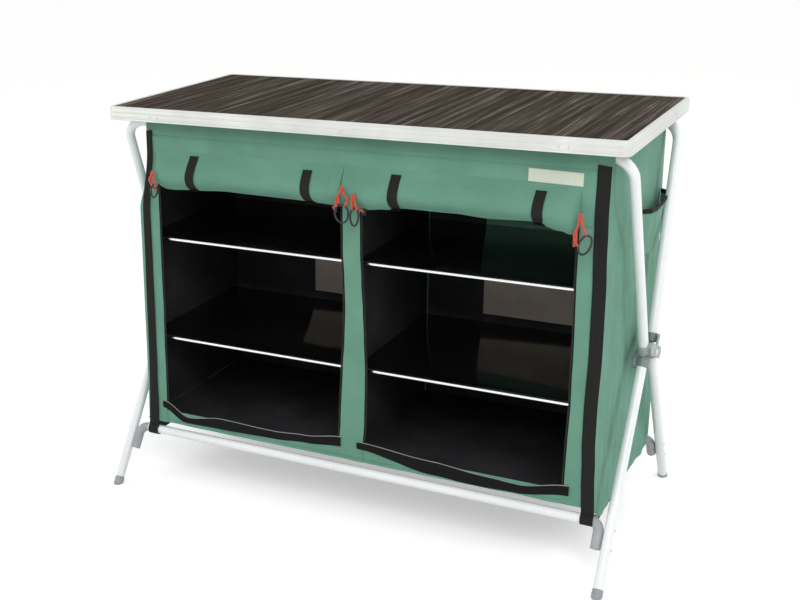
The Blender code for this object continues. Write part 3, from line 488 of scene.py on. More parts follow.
GREEN = woven_polyester("green_coated_polyester", "5C8A77", "6A9A86", metres(1.3))
BLACK = woven_polyester("black_coated_polyester", "232326", "38383B", metres(1.3), sheen=0.0, gloss=0.2)
WEBBING = ribbed_webbing("black_polyester_webbing", "121312", "1F201F", metres(1.5))
TAPE = ribbed_webbing("black_zip_tape", "0B0C0B", "161716", metres(1.0), gloss=0.12)
WHITE = powder_coat("white_powder_coat", "E4E7E9", "F1F3F4")
RAIL_X = extruded_rail("pale_anodised_rail_long", "CDCFCC", "DFE1DB", (1.5, 900, 900))
RAIL_Y = extruded_rail("pale_anodised_rail_short", "CDCFCC", "DFE1DB", (900, 1.5, 900))
LAMINATE = streaked_laminate("dark_streaked_laminate")
GREY_LIGHT = moulded_plastic("light_grey_nylon", "8F9797", "A6ADAD")
GREY_DARK = moulded_plastic("dark_grey_nylon", "6C7676", "7F8989")
GREY_ELBOW = moulded_plastic("mid_grey_nylon", "909598", "A7ABAD")
BLACK_PLASTIC = moulded_plastic("black_acetal", "151516", "242425", 0.35)
STEEL = bare_metal("bright_steel", "B9BBBC", "D3D5D6", 0.3)
TRIM = bare_metal("polished_aluminium_trim", "D6D8DA", "EFF0F1", 0.2)
SHELF = polished_shelf("black_melamine")
CORD = braided_cord("orange_braided_cord", "A5301C", "E0573A")
PATCH = woven_polyester("pale_woven_label", "C3CBB9", "D8DECD", metres(0.9), sheen=0.3, roughness=0.7)
THREAD = braided_cord("dark_green_thread", "2F5246", "4C7A69")
# The vent's pale colour is painted light: it stands for the bright light seen through the mesh, not the mesh's
# own colour
VENT_PAINTED_LIGHT = woven_polyester("mesh_vent_painted_light", "B9AC9F", "D6CBBF", metres(1.8))
PIPING = woven_polyester("grey_piping", "7F8486", "A5AAAC", metres(1.0))
SLOTS = {GREEN: "green_fabric", THREAD: "green_fabric", BLACK: "black_fabric", VENT_PAINTED_LIGHT: "black_fabric",
         WEBBING: "black_webbing", TAPE: "zip_tape", PIPING: "zip_tape", BLACK_PLASTIC: "zip_tape",
         WHITE: "white_coated_steel", RAIL_X: "edge_rail", RAIL_Y: "edge_rail",
         GREY_LIGHT: "light_grey_plastic", GREY_DARK: "dark_grey_plastic", GREY_ELBOW: "elbow_plastic",
         STEEL: "pin_steel", TRIM: "shelf_trim",
         SHELF: "shelf_board", CORD: "pull_cord", PATCH: "label_patch"}


# Places along the legs
LOWER_SPREAD = (CROSS_Y - HUB_SPREAD) / (HUB_Z - CROSS_Z)
UPPER_LENGTH = hypot(TOP_Y - HUB_SPREAD, TOP_Z - HUB_Z)
UPPER_RUN = Vector((0, TOP_Y - HUB_SPREAD, TOP_Z - HUB_Z)).normalized()


def upper_place(side, facing, distance):
    across = LEG_X - TOP_LEAN * distance / UPPER_LENGTH
    out = HUB_SPREAD + UPPER_RUN.y * distance
    return Vector((side * across, facing * out, HUB_Z + UPPER_RUN.z * distance))


def lower_place(side, facing, height):
    return Vector((side * LEG_X, facing * (HUB_SPREAD + LOWER_SPREAD * (HUB_Z - height)), height))


# Steel frame, its plastic joints and its rivets
def add_rivets(name, body, places, direction, radius, height):
    """Rivet heads: short rods whose rims are rolled over into domes."""
    direction = Vector(direction)
    heads = []
    for place in places:
        head = add_object(bpy.ops.mesh.primitive_cylinder_add, "rivet", vertices=20, radius=radius,
                          depth=height, location=Vector(place) + direction * (height / 2),
                          rotation=direction.to_track_quat('Z', 'Y').to_euler())
        edit(head, bpy.ops.mesh.inset, lambda face: face.normal.z > 0.9, thickness=radius * 0.3)
        round_edges(head, height * 0.55, 3, 40)
        heads.append(settle(head))
    dress(join(heads, name), STEEL, body=body)


def make_frames():
    for word, facing in ENDS:
        upper_body, lower_body = ("frame_a", "frame_b") if facing < 0 else ("frame_b", "frame_a")
        left, right = [Vector((side * (LEG_X - TOP_LEAN), facing * TOP_Y, TOP_Z)) for side in (-1, 1)]
        middle = (left + right) / 2
        points = (rounded_path(upper_place(-1, facing, UPPER_START), left, middle, TOP_BEND, 24)[:-1]
                  + rounded_path(middle, right, upper_place(1, facing, UPPER_START), TOP_BEND, 24)[1:])
        frame_tube(f"{word}_top_bar", points, WHITE, upper_body, f"{word}_upper_tube")
        cross = [Vector((side * CROSS_REACH, facing * CROSS_Y, CROSS_Z)) for side in (-1, 1)]
        frame_tube(f"{word}_cross_bar", cross, WHITE, lower_body, f"{word}_cross_tube")
        for name, side in SIDES:
            make_lower_leg(word, facing, name, side, lower_body)


def make_lower_leg(word, facing, name, side, body):
    """A lower leg with its elbow, its foot and the two rivets that hold leg and elbow together."""
    top = upper_place(side, facing, 0)
    run = (lower_place(side, facing, 0) - top).normalized()
    leg = [top + run * LOWER_START, lower_place(side, facing, FOOT_CAP + SEAT)]
    frame_tube(f"{word}_leg_{name}", leg, WHITE, body, f"{word}_lower_leg_{name}")
    first = Vector((side * (CROSS_REACH + SEAT), facing * CROSS_Y, CROSS_Z))
    corner, end = [lower_place(side, facing, height) for height in (CROSS_Z, ELBOW_END_Z)]
    corner.x = end.x = side * ELBOW_X
    points = rounded_path(first, corner, end, ELBOW_BEND, 20)
    ahead = (points[1] - points[0]).normalized()
    back = (points[-2] - points[-1]).normalized()
    mouth = [points[0] + ahead * reach for reach, _ in ELBOW_MOUTH]
    tip = [points[-1] + back * reach for reach, _ in ELBOW_TIP]
    shares = [share for _, share in ELBOW_MOUTH] + [1.0] * (len(points) - 2) + [share for _, share in ELBOW_TIP]
    frame_tube(f"{word}_elbow_cover_{name}", mouth + points[1:-1] + tip, GREY_ELBOW, body,
               f"{word}_elbow_{name}", shares)
    dress(fine_copy(f"{word}_foot_{name}", 0.0012, 3), GREY_ELBOW, f"{word}_foot_{name}", body=body)
    outer = Vector((side * (TUBE_RADIUS - 0.0004), 0, 0))
    places = [lower_place(side, facing, height) + outer for height in LEG_RIVET_HEIGHTS]
    add_rivets(f"{word}_leg_rivets_{name}", body, places, (side, 0, 0), *LEG_RIVET)


def make_hubs():
    for name, _ in SIDES:
        dress(moulded_copy(f"hub_outer_{name}"), GREY_LIGHT, f"hub_outer_{name}", body="frame_a")
        dress(moulded_copy(f"hub_inner_{name}"), GREY_DARK, f"hub_inner_{name}", body="frame_b")
        dress(fine_copy(f"hub_pin_{name}", 0.0005), STEEL, f"hub_pin_{name}", body="hub_pins")


# Tabletop: the depth of the rails' lines, the lines as (drop from the top, half width), and per pair of rails
# the axis they face along, their finish, the places of their rivets and the height of the rivets
LINE_DEPTH = 0.0007
RAIL_LINES = ((0.0042, 0.0005), (0.0136, 0.0006), (0.0236, 0.0004))
RAILS = ((ENDS, 1, RAIL_X, (-0.4185, -0.4015, 0, 0.4015, 0.4185), 0.8135),
         (SIDES, 0, RAIL_Y, (0.078, 0.118), 0.8175))


def draw_lines(item, axis, facing):
    """Press the extrusion's shallow lines into the outer face of a rail."""
    mesh = bmesh.new()
    mesh.from_mesh(item.data)
    top = max(vertex.co.z for vertex in mesh.verts)
    face = max(facing * vertex.co[axis] for vertex in mesh.verts)
    for drop, half in RAIL_LINES:
        for level in (drop - half, drop, drop + half):
            bmesh.ops.bisect_plane(mesh, geom=mesh.verts[:] + mesh.edges[:] + mesh.faces[:], dist=0.00001,
                                   plane_co=(0, 0, top - level), plane_no=(0, 0, 1))
        for vertex in mesh.verts:
            if abs(vertex.co.z - top + drop) < 0.00002 and facing * vertex.co[axis] > face - 0.0001:
                vertex.co[axis] -= facing * LINE_DEPTH
    mesh.to_mesh(item.data)
    mesh.free()
    return settle(item)


def make_tabletop():
    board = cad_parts["table_board"]
    board.data.materials.clear()
    board.data.materials.append(LAMINATE)
    for pair, axis, material, spots, height in RAILS:
        for word, facing in pair:
            rail = draw_lines(fine_copy(f"{word}_rail", 0.0005), axis, facing)
            dress(rail, material, f"{word}_rail", body="tabletop")
            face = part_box(f"{word}_rail")[1 if facing > 0 else 0][axis] - facing * SEAT
            places = [(spot, face, height) if axis else (face, spot, height) for spot in spots]
            out = (0, facing, 0) if axis else (facing, 0, 0)
            add_rivets(f"{word}_rail_rivets", "tabletop", places, out, *RAIL_RIVET)
    for word, _ in ENDS:
        for name, _ in SIDES:
            clip = f"top_clip_{word}_{name}"
            dress(fine_copy(clip, 0.0008), GREY_DARK, clip, body="tabletop")


# Cloth of the cupboard, which lies a little inside the faces of the solids
INSET = 0.0007
FACE = FACE_Y - INSET
SIDE_FACE = WALL_OUTER - INSET
SEAM_X = 0.4705
HEADER_LOW_Z = HEADER_LOW.z
SEAM_Z = 0.7690
SLEEVE_TURN = SLEEVE_RADIUS - 0.0008
FRONT_Y = -(FACE - 0.0004)
ROLL_MEET = -0.0136


def tape(name, path, width, across, rows, thickness, bow=lambda up: (0, 0, 0)):
    """A flat strap of webbing along a path of points, its width across the given direction."""
    def place(side, up):
        return Vector(along_path(path, up)) + Vector(across) * ((side - 0.5) * width) + Vector(bow(up))

    return panel(name, 5, rows, (width, path_length(path)), place, thickness)


def stitch_row(name, places, ahead, length=0.0022, radius=0.00035, material=THREAD):
    """A row of stitches: one short rounded thread, copied to each place and joined."""
    first = add_object(bpy.ops.mesh.primitive_cylinder_add, name, vertices=6, radius=radius, depth=length,
                       rotation=Vector(ahead).to_track_quat('Z', 'Y').to_euler())
    edit(first, bpy.ops.mesh.poke, lambda face: abs(face.normal.z) > 0.9, offset=radius * 0.8)
    apply_place(first)
    merged = bmesh.new()
    for place in places:
        start = len(merged.verts)
        merged.from_mesh(first.data)
        merged.verts.ensure_lookup_table()
        bmesh.ops.translate(merged, vec=Vector(place), verts=merged.verts[start:])
    merged.to_mesh(first.data)
    merged.free()
    first.data.shade_smooth()
    return dress(first, material)


def hung_sheet(name, columns, rows, size, place, material, rests_on, *nodes, thickness=CLOTH):
    item = dress(panel(name, columns, rows, size, place, thickness), material, *nodes)
    return item


def sleeve_profile(low):
    """Side view of a hung panel: up the face, over the top bar and down to the seam behind the face."""
    up = [(FACE, z) for z in (low, 0.700, 0.727, 0.745, 0.757, SEAM_Z - 0.003)]
    up += [(FACE - 0.0012, SEAM_Z), (FACE - 0.0002, SEAM_Z + 0.004), (FACE, SEAM_Z + 0.010)]
    over = [(TOP_Y + SLEEVE_TURN * cos(radians(angle)), TOP_Z + SLEEVE_TURN * sin(radians(angle)))
            for angle in range(0, 181, 10)]
    down = [(TOP_Y - SLEEVE_TURN * 0.93, TOP_Z - 0.006), (TOP_Y - SLEEVE_TURN * 0.5, TOP_Z - 0.0135),
            (FACE - 0.0075, SEAM_Z + 0.006), (FACE - 0.0030, SEAM_Z + 0.001), (FACE - 0.0022, SEAM_Z - 0.005)]
    return up + over + down


def folds_across(x, z):
    """Creases of the valance: an upright fold between the doors and soft slants towards its ends."""
    upright = 0.0022 * hump(x - ROLL_MEET, 0.006) * clamp((0.76 - z) / 0.06)
    slants = 0.0010 * sin(x * 31 + z * 55) * clamp((abs(x) - 0.30) / 0.12)
    return upright + slants + 0.0008 * ripple(x, z, 0.05, 3.1) + 0.0003 * ripple(x, z, 0.016, 7.7)


def sleeve_end(facing, side, y, z):
    """How far a hung panel reaches to one side, slanting from the strap at its foot to the bend of the bar."""
    bend = 0.4565 if facing < 0 and side < 0 else LEG_X - TOP_LEAN - TOP_BEND - 0.0005
    low = SEAM_X + lean(facing, side, z) + (0.006 if facing < 0 < side else 0)
    front = 0.4870 if facing < 0 < side else bend
    front = low + (front - low) * ease((z - TOP_Z + 0.034) / 0.024)
    return bend + (front - bend) * ease((y - TOP_Y - 0.0010) / 0.0100)


def make_hung_panel(facing, name, low, node):
    """The header or the back wall, sewn into a sleeve that the top bar runs through."""
    profile = sleeve_profile(low)
    length = path_length(profile)

    def place(across, up):
        y, z = along_path(profile, up)
        left, right = (sleeve_end(facing, side, y, z) for _, side in SIDES)
        x = -left + (left + right) * across
        if y >= FACE - 0.0005 and z < SEAM_Z:
            out = folds_across(x, z) * min(1, (SEAM_Z - z) / 0.02)
            y -= max(out, -0.0006) if facing > 0 else out
        return Vector((x, facing * y, z))

    return dress(panel(name, 210, 96, (2 * SEAM_X, length), place), GREEN, node), length


# How far the middle of each corner strap lies outside the seam, as (height, distance), and how much of it is
# folded flat to the front, where the rest goes round the corner
CORNER_LEAN = metres({(-1, -1): ((128, -2.2), (200, -4.5), (300, -6.2), (606, -6.5), (740, -20.8)),
                      (-1, 1): ((120, 10.3), (210, 6.4), (270, 4), (330, 3.5), (440, 5.7), (550, 4.7), (640, 2),
                      (700, 0.3), (776, 0.8)), (1, -1): ((150, 14), (770, 1)), (1, 1): ((150, 14), (770, 1))})
STRAP_WIDTH = 0.0240
STRAP_FRONT = metres(((128, 24), (250, 20), (606, 18), (710, 13.8)))


def lean(facing, side, z):
    """How far a corner of the cloth stands out towards the leg."""
    return between(CORNER_LEAN[facing, side], z)


def strap_front(facing, side, z):
    """The width of a corner strap that faces the front."""
    return between(STRAP_FRONT, z) if (facing, side) == (-1, -1) else STRAP_WIDTH


def corner_reach(facing, side, z):
    """Where the corner of the cloth lies, just inside the outer edge of its strap."""
    edge = 0.0030 if facing > 0 else -0.0010
    return SEAM_X + lean(facing, side, z) + strap_front(facing, side, z) / 2 + edge


def corner_fade(facing, side, y, z):
    """From 0 at a corner of the cloth to 1 where the wall is flat, soon where a shelf's end holds it out."""
    far = 0.016 + 0.084 * ease((z - 0.606) / 0.10) if (facing, side) == (-1, -1) else 0.150
    return ease((0.212 - abs(y)) / far)


def make_front_cloth():
    """The front below the header: three stiles beside the doorways and an apron below each of them."""
    tall = HEADER_LOW_Z - 0.0004 - HEM_Z
    outer = STILE_EDGE - 0.0002
    items = []

    def cloth_at(x, z, deeper=0):
        side = 1 if x > 0 else -1
        loose = sin(pi * clamp((z - HEM_Z) / tall))
        shift = side * lean(-1, side, z) * ease((abs(x) - STILE_EDGE) / (SEAM_X - STILE_EDGE))
        wave = 0.0011 * loose * ripple(x * 3, z, 0.09, 5.0) + 0.0006 * ripple(x, z, 0.03, 2.0)
        hem = 0.0016 * wander(x * 16, 0.0, 1.0) * max(0, 1 - (z - HEM_Z) / 0.03)
        return Vector((x + shift + doorway_drift(x, z), FRONT_Y + wave + deeper, z + hem))

    for name, start, end, *nodes in (("left", -SEAM_X, -outer),
                                     ("middle", -CENTRE_STILE, CENTRE_STILE, "front_panel"),
                                     ("right", outer, SEAM_X)):
        def place(across, up):
            return cloth_at(start + (end - start) * across, HEM_Z + tall * up)

        heights = [(step + 0.5) / 20 for step in range(20)]
        width = sum((place(1, up) - place(0, up)).length for up in heights) / 20
        items.append(hung_sheet(f"front_stile_{name}", 10, 110, (width, tall), place, GREEN,
                                "header_cloth", *nodes))
    width = outer - CENTRE_STILE + 0.008
    for name, side in SIDES:
        def place(across, up):
            x = side * (CENTRE_STILE - 0.004 + width * across)
            deeper = 0.0012 * ease(1.2 - 30 * min(across, 1 - across))
            return cloth_at(x, HEM_Z + (APRON_TOP - HEM_Z) * up, deeper)

        items.append(hung_sheet(f"front_apron_{name}", 90, 8, (width, APRON_TOP - HEM_Z), place, GREEN,
                                "front_stile_middle"))
    return items


# Side view of the wall's edges, as (place from front to back, height)
WALL_TOP_EDGE = metres(((-210.6, 780), (-205.6, 779.5), (-187, 779.5), (-179, 785), (-162, 794.2), (0, 794.6),
                        (162, 794.2), (179, 785), (187, 779.5), (205.6, 779), (210.6, 778)))
WALL_LOW_EDGE = metres(((-210.6, 126), (-198, 125.5), (-188, 108), (-150, 98.5), (-40, 100), (60, 99),
                        (150, 99.5), (188, 108), (198, 125.5), (210.6, 126)))
# Pleats of the side wall: place at the bottom and at the top, width and depth
WALL_PLEATS = metres(((-178, -188, 10, 3), (-150, -140, 14, 4.2), (-105, -118, 18, 5), (-60, -75, 15, 3.6),
                      (-10, -40, 22, 4.6), (45, 20, 16, 4), (95, 90, 22, 5), (150, 160, 15, 3.6),
                      (185, 190, 9, 2.4)))


def wall_fold(y, z):
    """How far a side wall stands out from its flat plane."""
    up = clamp((z - 0.10) / (WALL_TOP - 0.10))
    swell = 0.35 + 0.65 * sin(pi * (0.12 + 0.76 * (1 - up)))
    out = 0.0012 * ripple(y, z, 0.045, 9.0) + 0.0004 * ripple(y, z, 0.014, 4.0)
    for low, high, width, depth in WALL_PLEATS:
        out += depth * swell * hump(y - low - (high - low) * up - 0.006 * wander(low * 40, z * 5, 2.5), width)
    diagonal = 0.0035 * hump((y + 0.14) * 0.8 + (z - 0.62) * 0.6, 0.016)
    diagonal *= ease((z - 0.50) / 0.06) * ease((0.74 - z) / 0.06)
    bare = 1 - 0.85 * ease((z - 0.53) / 0.05) * ease((y + 0.05) / 0.04)
    return max((out * bare + diagonal) * ease((0.2106 - abs(y)) / 0.03), 0)


def make_side_wall(name, side):
    corner = 0.005
    flat = SIDE_FACE - corner
    path = [(SEAM_X, -FACE), (flat, -FACE)]
    path += [(flat + corner * sin(radians(angle)), corner - FACE - corner * cos(radians(angle)))
             for angle in range(15, 91, 15)]
    path += [(x, -y) for x, y in reversed(path)]
    length = path_length(path)

    def place(across, up):
        x, y = along_path(path, across)
        out = max((flat - x) / (flat - SEAM_X), 0)
        top = between(WALL_TOP_EDGE, y) + 0.014 * out
        low = between(WALL_LOW_EDGE, y) + 0.007 * out
        z = low + (top - low) * up + 0.0022 * wander(y * 21, 3.0, side) * (1 - up) ** 6
        facing = -1 if y < 0 else 1
        seam = SEAM_X + lean(facing, side, z)
        reach = corner_reach(facing, side, z)
        fold = wall_fold(y, z) if x > SIDE_FACE - 0.0005 else 0
        share = (x - SEAM_X) / (SIDE_FACE - SEAM_X)
        x = seam + (reach - seam) * share + (SIDE_FACE - reach) * corner_fade(facing, side, y, z) + fold
        return Vector((side * x, y, z))

    item = dress(panel(f"side_cloth_{name}", 150, 110, (length, 0.69), place), GREEN, f"side_wall_{name}")
    heights = [between(WALL_TOP_EDGE, y) - between(WALL_LOW_EDGE, y)
               for _, y in (along_path(path, (step + 0.5) / 200) for step in range(200))]
    return item


# The inner cloth: its lower edge, a side lining's front edge, its run to the rear and its gap to the wall, and
# the place of the linings at the rear
INNER_LOW_Z = HEM_Z + 0.0035
LINING_FRONT = -0.2070
LINING_DEPTH = 0.4142
LINING_GAP = 0.0035
LINING_Y = 0.2084


def make_lining(name, side):
    """The black inner face of a side wall, which hangs just inside the green cloth."""
    def place(across, up):
        y = LINING_FRONT + LINING_DEPTH * across
        z = INNER_LOW_Z + (between(LINING_TOP, y) - INNER_LOW_Z) * up
        facing = -1 if y < 0 else 1
        inward = max(SIDE_FACE - corner_reach(facing, side, z), 0) * (1 - corner_fade(facing, side, y, z))
        return Vector((side * (SIDE_FACE - LINING_GAP - inward + 0.0010 * ripple(y, z, 0.06, 8.0)), y, z))

    return hung_sheet(f"side_lining_{name}", 56, 60, (0.414, 0.64), place, BLACK, f"side_cloth_{name}",
                      thickness=0.0007)


# Upper edges of the inner cloth, and the inner faces of the back wall as (left, right, bottom, top): a black
# lining behind the left part of each cell and a mesh vent right of it, painted pale: painted light that
# shows through the back wall
LINING_TOP = metres(((-207, 735), (-172, 783), (172, 783), (207.2, 735)))
CENTRE_TOP = metres(((-207.2, 752), (-170, 794.5), (170, 794.5), (207.2, 752)))
BACK_LININGS = metres({"lining_left": (-486.4, -277, 125.5, 745), "lining_left_top": (-277, -3, 470, 745),
                       "vent_left": (-277, -3, 340, 470), "lining_right": (3, 131, 125.5, 745),
                       "vent_right": (131, 486.4, 340, 470), "lining_left_low": (-277, -3, 125.5, 340),
                       "lining_right_low": (131, 486.4, 125.5, 340)})


def make_back_linings():
    items = []
    for name, (left, right, low, high) in BACK_LININGS.items():
        def place(across, up):
            x = left + (right - left) * across
            z = low + (high - low) * up
            return Vector((x, LINING_Y + 0.0003 * ripple(x, z, 0.06, 4.0), z))

        items.append(hung_sheet(f"back_{name}", 24, 24, (right - left, high - low), place,
                                VENT_PAINTED_LIGHT if "vent" in name else BLACK, "back_cloth", thickness=0.0006))
    return items


def make_inner_cloth():
    """The centre wall and the floor of the cupboard."""
    depth = 0.2072
    tall = WALL_TOP - INNER_LOW_Z
    reach = WALL_OUTER - 0.0045

    def wall_place(across, up):
        y = -depth + 2 * depth * across
        z = INNER_LOW_Z + (between(CENTRE_TOP, y) - INNER_LOW_Z) * up
        return Vector((0.0011 * ripple(y, z, 0.07, 6.0), y, z))

    wall = dress(panel("centre_cloth", 60, 90, (2 * depth, tall), wall_place, 0.0014), BLACK, "centre_wall")

    def floor_place(across, up):
        x = -reach + 2 * reach * across
        y = -depth + 2 * depth * up
        sag = 0.0016 * sin(pi * across * 2) ** 2 * sin(pi * up)
        return Vector((x, y, HEM_Z + 0.0022 - sag + 0.0003 * ripple(x, y, 0.05, 5.0)))

    size = (2 * reach, 2 * depth)
    floor = dress(panel("floor_cloth", 120, 50, size, floor_place, 0.0014), BLACK, "cupboard_floor")
    return [wall, floor]


# Rolled doors: lower edge of each roll as (place across, height)
ROLL_LOW = metres(((-434.5, 674), (-428, 661), (-400, 659.5), (-340, 663), (-273, 666.6), (-200, 665.5),
                   (-117, 664.8), (-70, 663), (-20, 661.2), (32, 659.2), (70, 663), (119, 669.6), (186, 670.7),
                   (271, 666.2), (351, 669), (400, 657), (431, 648), (434.5, 656)))
ROLL_CREST = 0.7400
ROLL_BELLY = 0.684


def roll_section(x):
    """Top, bottom and depth of the drop-shaped roll at a place across, and how full it is there."""
    inner = sqrt(1 - (1 - clamp(abs(x - ROLL_MEET) / 0.0018)) ** 2)
    outer = sqrt(1 - (1 - clamp((STILE_EDGE - abs(x)) / 0.020)) ** 2)
    full = min(inner * (0.90 + 0.10 * ease(abs(x - ROLL_MEET) / 0.03)), outer)
    bottom = ROLL_BELLY - (ROLL_BELLY - between(ROLL_LOW, x)) * (0.30 + 0.70 * outer)
    top = ROLL_CREST - 0.006 * (1 - outer) + 0.0015 * ripple(x, 0, 0.08, 2.0)
    return top, bottom, (0.0225 + 0.0014 * ripple(x, 0, 0.06, 6.0)) * full, full


def roll_place(x, turn, proud=None):
    """A point on the roll's skin, or proud of it: turn 0 at its top, 0.5 at its bottom, 1 at its top again."""
    top, bottom, depth, full = roll_section(x)
    swing = (1 - cos(2 * pi * turn)) / 2
    z = top + (bottom - top) * swing
    bulge = max(sin(pi * swing ** 1.55), 0) ** 0.82
    if turn > 0.5:
        return Vector((x, -(FACE + INSET + 0.0016 * sin(pi * swing) * full), z))
    out = depth * bulge
    if proud is None:
        fine = 0.0012 * ripple(x, z * 1.6, 0.035, 5.0) + 0.0008 * sin(x * 47 + z * 60)
        fine -= 0.0018 * hump(x - ROLL_MEET + 0.007, 0.0045) * ease((z - 0.69) / 0.02)
        fine += 0.0014 * hump(z - 0.7270 - 0.002 * sin(x * 21), 0.0022)
        out -= fine * min(bulge * 1.2, 1) * full
    return Vector((x, -(FACE + INSET + max(out, 0) + (proud or 0)), z))


def make_door_roll(name, side):
    """A door rolled up: a soft drop-shaped roll that leaves the header smoothly and rounds under."""
    start = ROLL_MEET + side * 0.0001
    run = side * STILE_EDGE - start

    def place(across, up):
        return roll_place(start + run * (across - 0.85 * sin(2 * pi * across) / (2 * pi)), up)

    item = panel(f"door_roll_cloth_{name}", 190, 48, (abs(run), 0.19), place, closed=True)
    dress(item, GREEN, f"door_roll_{name}")
    lap = [roll_place(start + side * 0.003 + (run - side * 0.021) * share, 0.485, -0.0006)
           for share in steps_along(61)]
    return [item, dress(tube(f"door_hem_{name}", lap, 0.0011), GREEN)]


# Per tie: the place of its middle, how far it slants, how far it bows and where round the roll it starts
TIES = {"left_outer": (-0.3430, 0.0040, 0.0016, 0.100), "left_inner": (-0.0836, -0.0055, 0.0022, 0.138),
        "right_inner": (0.0942, 0.0000, 0.0010, 0.108), "right_outer": (0.3660, 0.0012, 0.0018, 0.138)}


def make_ties():
    """Four short straps, sewn to the header, that hold the rolls up."""
    items = []
    for name, (middle, slant, sway, begin) in TIES.items():
        path = [roll_place(middle, begin + (0.5 - begin) * share, 0.0012) for share in steps_along(30)]
        _, bottom, depth, _ = roll_section(middle)
        path += [Vector((middle, -(FACE + depth * 0.45), bottom - 0.0014)),
                 Vector((middle, -(FACE + 0.0030), bottom - 0.0004))]
        item = tape(f"tie_webbing_{name}", path, 0.0195, (1, 0, 0), 60, 0.0011,
                    lambda up: (slant * (0.5 - up) - sway * sin(pi * up), 0, 0))
        items.append(dress(item, WEBBING, f"tie_strap_{name}"))
    return items


# Zips, sill bands and their piping: (place across, height) along each band
BAND_TOP = metres({"left": ((-443, 185), (-378, 156), (-299, 167), (-174, 164), (-101, 169), (-19, 181)),
                   "right": ((17, 177.5), (175, 167), (281, 159), (350, 156), (444, 173))})
BAND_LOW = metres({"left": ((-443, 169), (-387, 142.5), (-300, 144), (-174, 147), (-101, 153), (-19, 160)),
                   "right": ((17, 163), (180, 139), (259, 136), (343, 138), (444, 153))})


# The centre stile leans a little and narrows upwards: (height, place of its middle), (height, half its width)
STILE_MIDDLE = metres(((163, 3), (223, 6.1), (330, 8.5), (395, 9.2), (455, 8.2), (516, 5.4), (576, 2.2),
                       (660, 1.2)))
STILE_HALF = metres(((163, 25.6), (223, 25.4), (270, 24.9), (330, 23.8), (395, 20.6), (455, 18.6), (516, 17.8)))


def doorway_drift(x, z):
    """How far the cut edge of a doorway wanders sideways."""
    loose = sin(pi * clamp((z - HEM_Z) / (HEADER_LOW_Z - HEM_Z)))
    narrower = between(STILE_HALF, z) - CENTRE_STILE
    pull = min(max(x / CENTRE_STILE, -1), 1) * narrower + between(STILE_MIDDLE, z)
    edges = 0.0028 * sin(pi * clamp((z - 0.20) / 0.36)) * (1 if x > 0 else 0.2)
    return (0.0009 * loose * wander(round(x * 20), z * 14, 4.0) + pull * ease((0.08 - abs(x)) / 0.04)
            + edges * ease((abs(x) - 0.40) / 0.02))


def make_zips(name, side):
    """The dark zip tape round a doorway, its coil, the band over its sill and the band's piping."""
    start = APRON_TOP + 0.004
    tall = HEADER_LOW_Z - 0.001 - start
    width = 0.0104
    pitch = 0.0032
    items = []
    for word, x, into in (("outer", side * STILE_EDGE, -side), ("inner", side * CENTRE_STILE, side)):
        def place(across, up):
            z = start + tall * up
            return Vector((x + doorway_drift(x, z) + into * (-0.0062 + width * across),
                           FRONT_Y + 0.0013 + 0.0006 * ripple(x, z, 0.05, 3.0), z))

        strip = panel(f"zip_tape_{name}_{word}", 6, 110, (width, tall), place, 0.0008)
        items.append(dress(strip, TAPE, *([f"zip_track_{name}"] if word == "outer" else [])))
        heights = [start + 0.002 + step * pitch for step in range(int((tall - 0.002) / pitch))]
        places = [(x + doorway_drift(x, z) + into * 0.0038, FRONT_Y + 0.0006, z) for z in heights]
        items.append(stitch_row(f"zip_coil_{name}_{word}", places, (1, 0, 0), 0.0026, 0.0009, BLACK_PLASTIC))
    high, low = BAND_TOP[name], BAND_LOW[name]
    run = low[-1][0] - low[0][0]

    def band_place(across, up):
        x = low[0][0] + run * across
        bottom, lid = between(low, x), between(high, x)
        z = bottom + (lid - bottom) * up
        return Vector((x, -(FACE + 0.0010 + 0.0016 * sin(pi * up) + 0.0008 * ripple(x, z, 0.04, 8.0)), z))

    band = panel(f"sill_band_{name}", 150, 10, (run, 0.018), band_place, 0.0012)
    welt = [band_place(share, 1.0) + Vector((0, -0.0002, 0.0002)) for share in steps_along(121)]
    return items + [dress(band, TAPE, slot="black_fabric"),
                    dress(tube(f"sill_piping_{name}", welt, 0.00075), PIPING)]


def make_corner_webbing(word, facing, name, side):
    """Webbing sewn down a corner, folded round it, and looped round the cross bar that it hangs on."""
    ring = 0.0112
    fold = 0.0020
    top = 0.7775
    face = FACE_Y + 0.0013
    start = degrees(acos(max(min((face - CROSS_Y) / ring, 1), -1)))
    path = [Vector((0, facing * face, top - (top - CROSS_Z - 0.016) * share)) for share in steps_along(61)]
    path += [Vector((0, facing * (CROSS_Y + ring * cos(radians(angle))), CROSS_Z + ring * sin(radians(angle))))
             for angle in range(int(start), -226, -12)]

    def place(across, up):
        _, y, z = along_path(path, up)
        front = strap_front(facing, side, z)
        inner = SEAM_X + lean(facing, side, z) - front / 2
        x = inner + across * STRAP_WIDTH
        if front < STRAP_WIDTH:
            out = x - inner - front + fold
            turn = min(max(out / fold, 0), pi / 2)
            x = min(x, inner + front - fold) + fold * sin(turn)
            y -= facing * (fold * (1 - cos(turn)) + max(out - fold * pi / 2, 0))
        x += 0.0007 * wander(z * 9, side, facing)
        return Vector((side * x, y, z - 0.0028 * (across - 0.5) * (1 - ease(up / 0.03))))

    item = panel(f"corner_strap_{word}_{name}", 14, 190, (STRAP_WIDTH, path_length(path)), place, 0.0015)
    return dress(item, WEBBING, f"corner_webbing_{word}_{name}")


def make_base_strap(name, side):
    """The strap along the bottom of a side wall, tacked to it at its ends."""
    length, width = 0.372, 0.0185

    def place(across, up):
        y = length * (across - 0.5)
        low = 0.0865 + 0.0026 * sin(pi * across) * sin(across * 9)
        return Vector((side * (SIDE_FACE - 0.0022 + 0.0010 * ripple(y, 0, 0.05, 6.0)), y, low + width * up))

    return dress(panel(f"base_strap_{name}", 90, 4, (length, width), place, 0.0015), WEBBING)


# Side pocket
POCKET_FRONT = -0.020
POCKET_BACK = 0.186
POCKET_TOP = 0.656
POCKET_TIP = 0.548


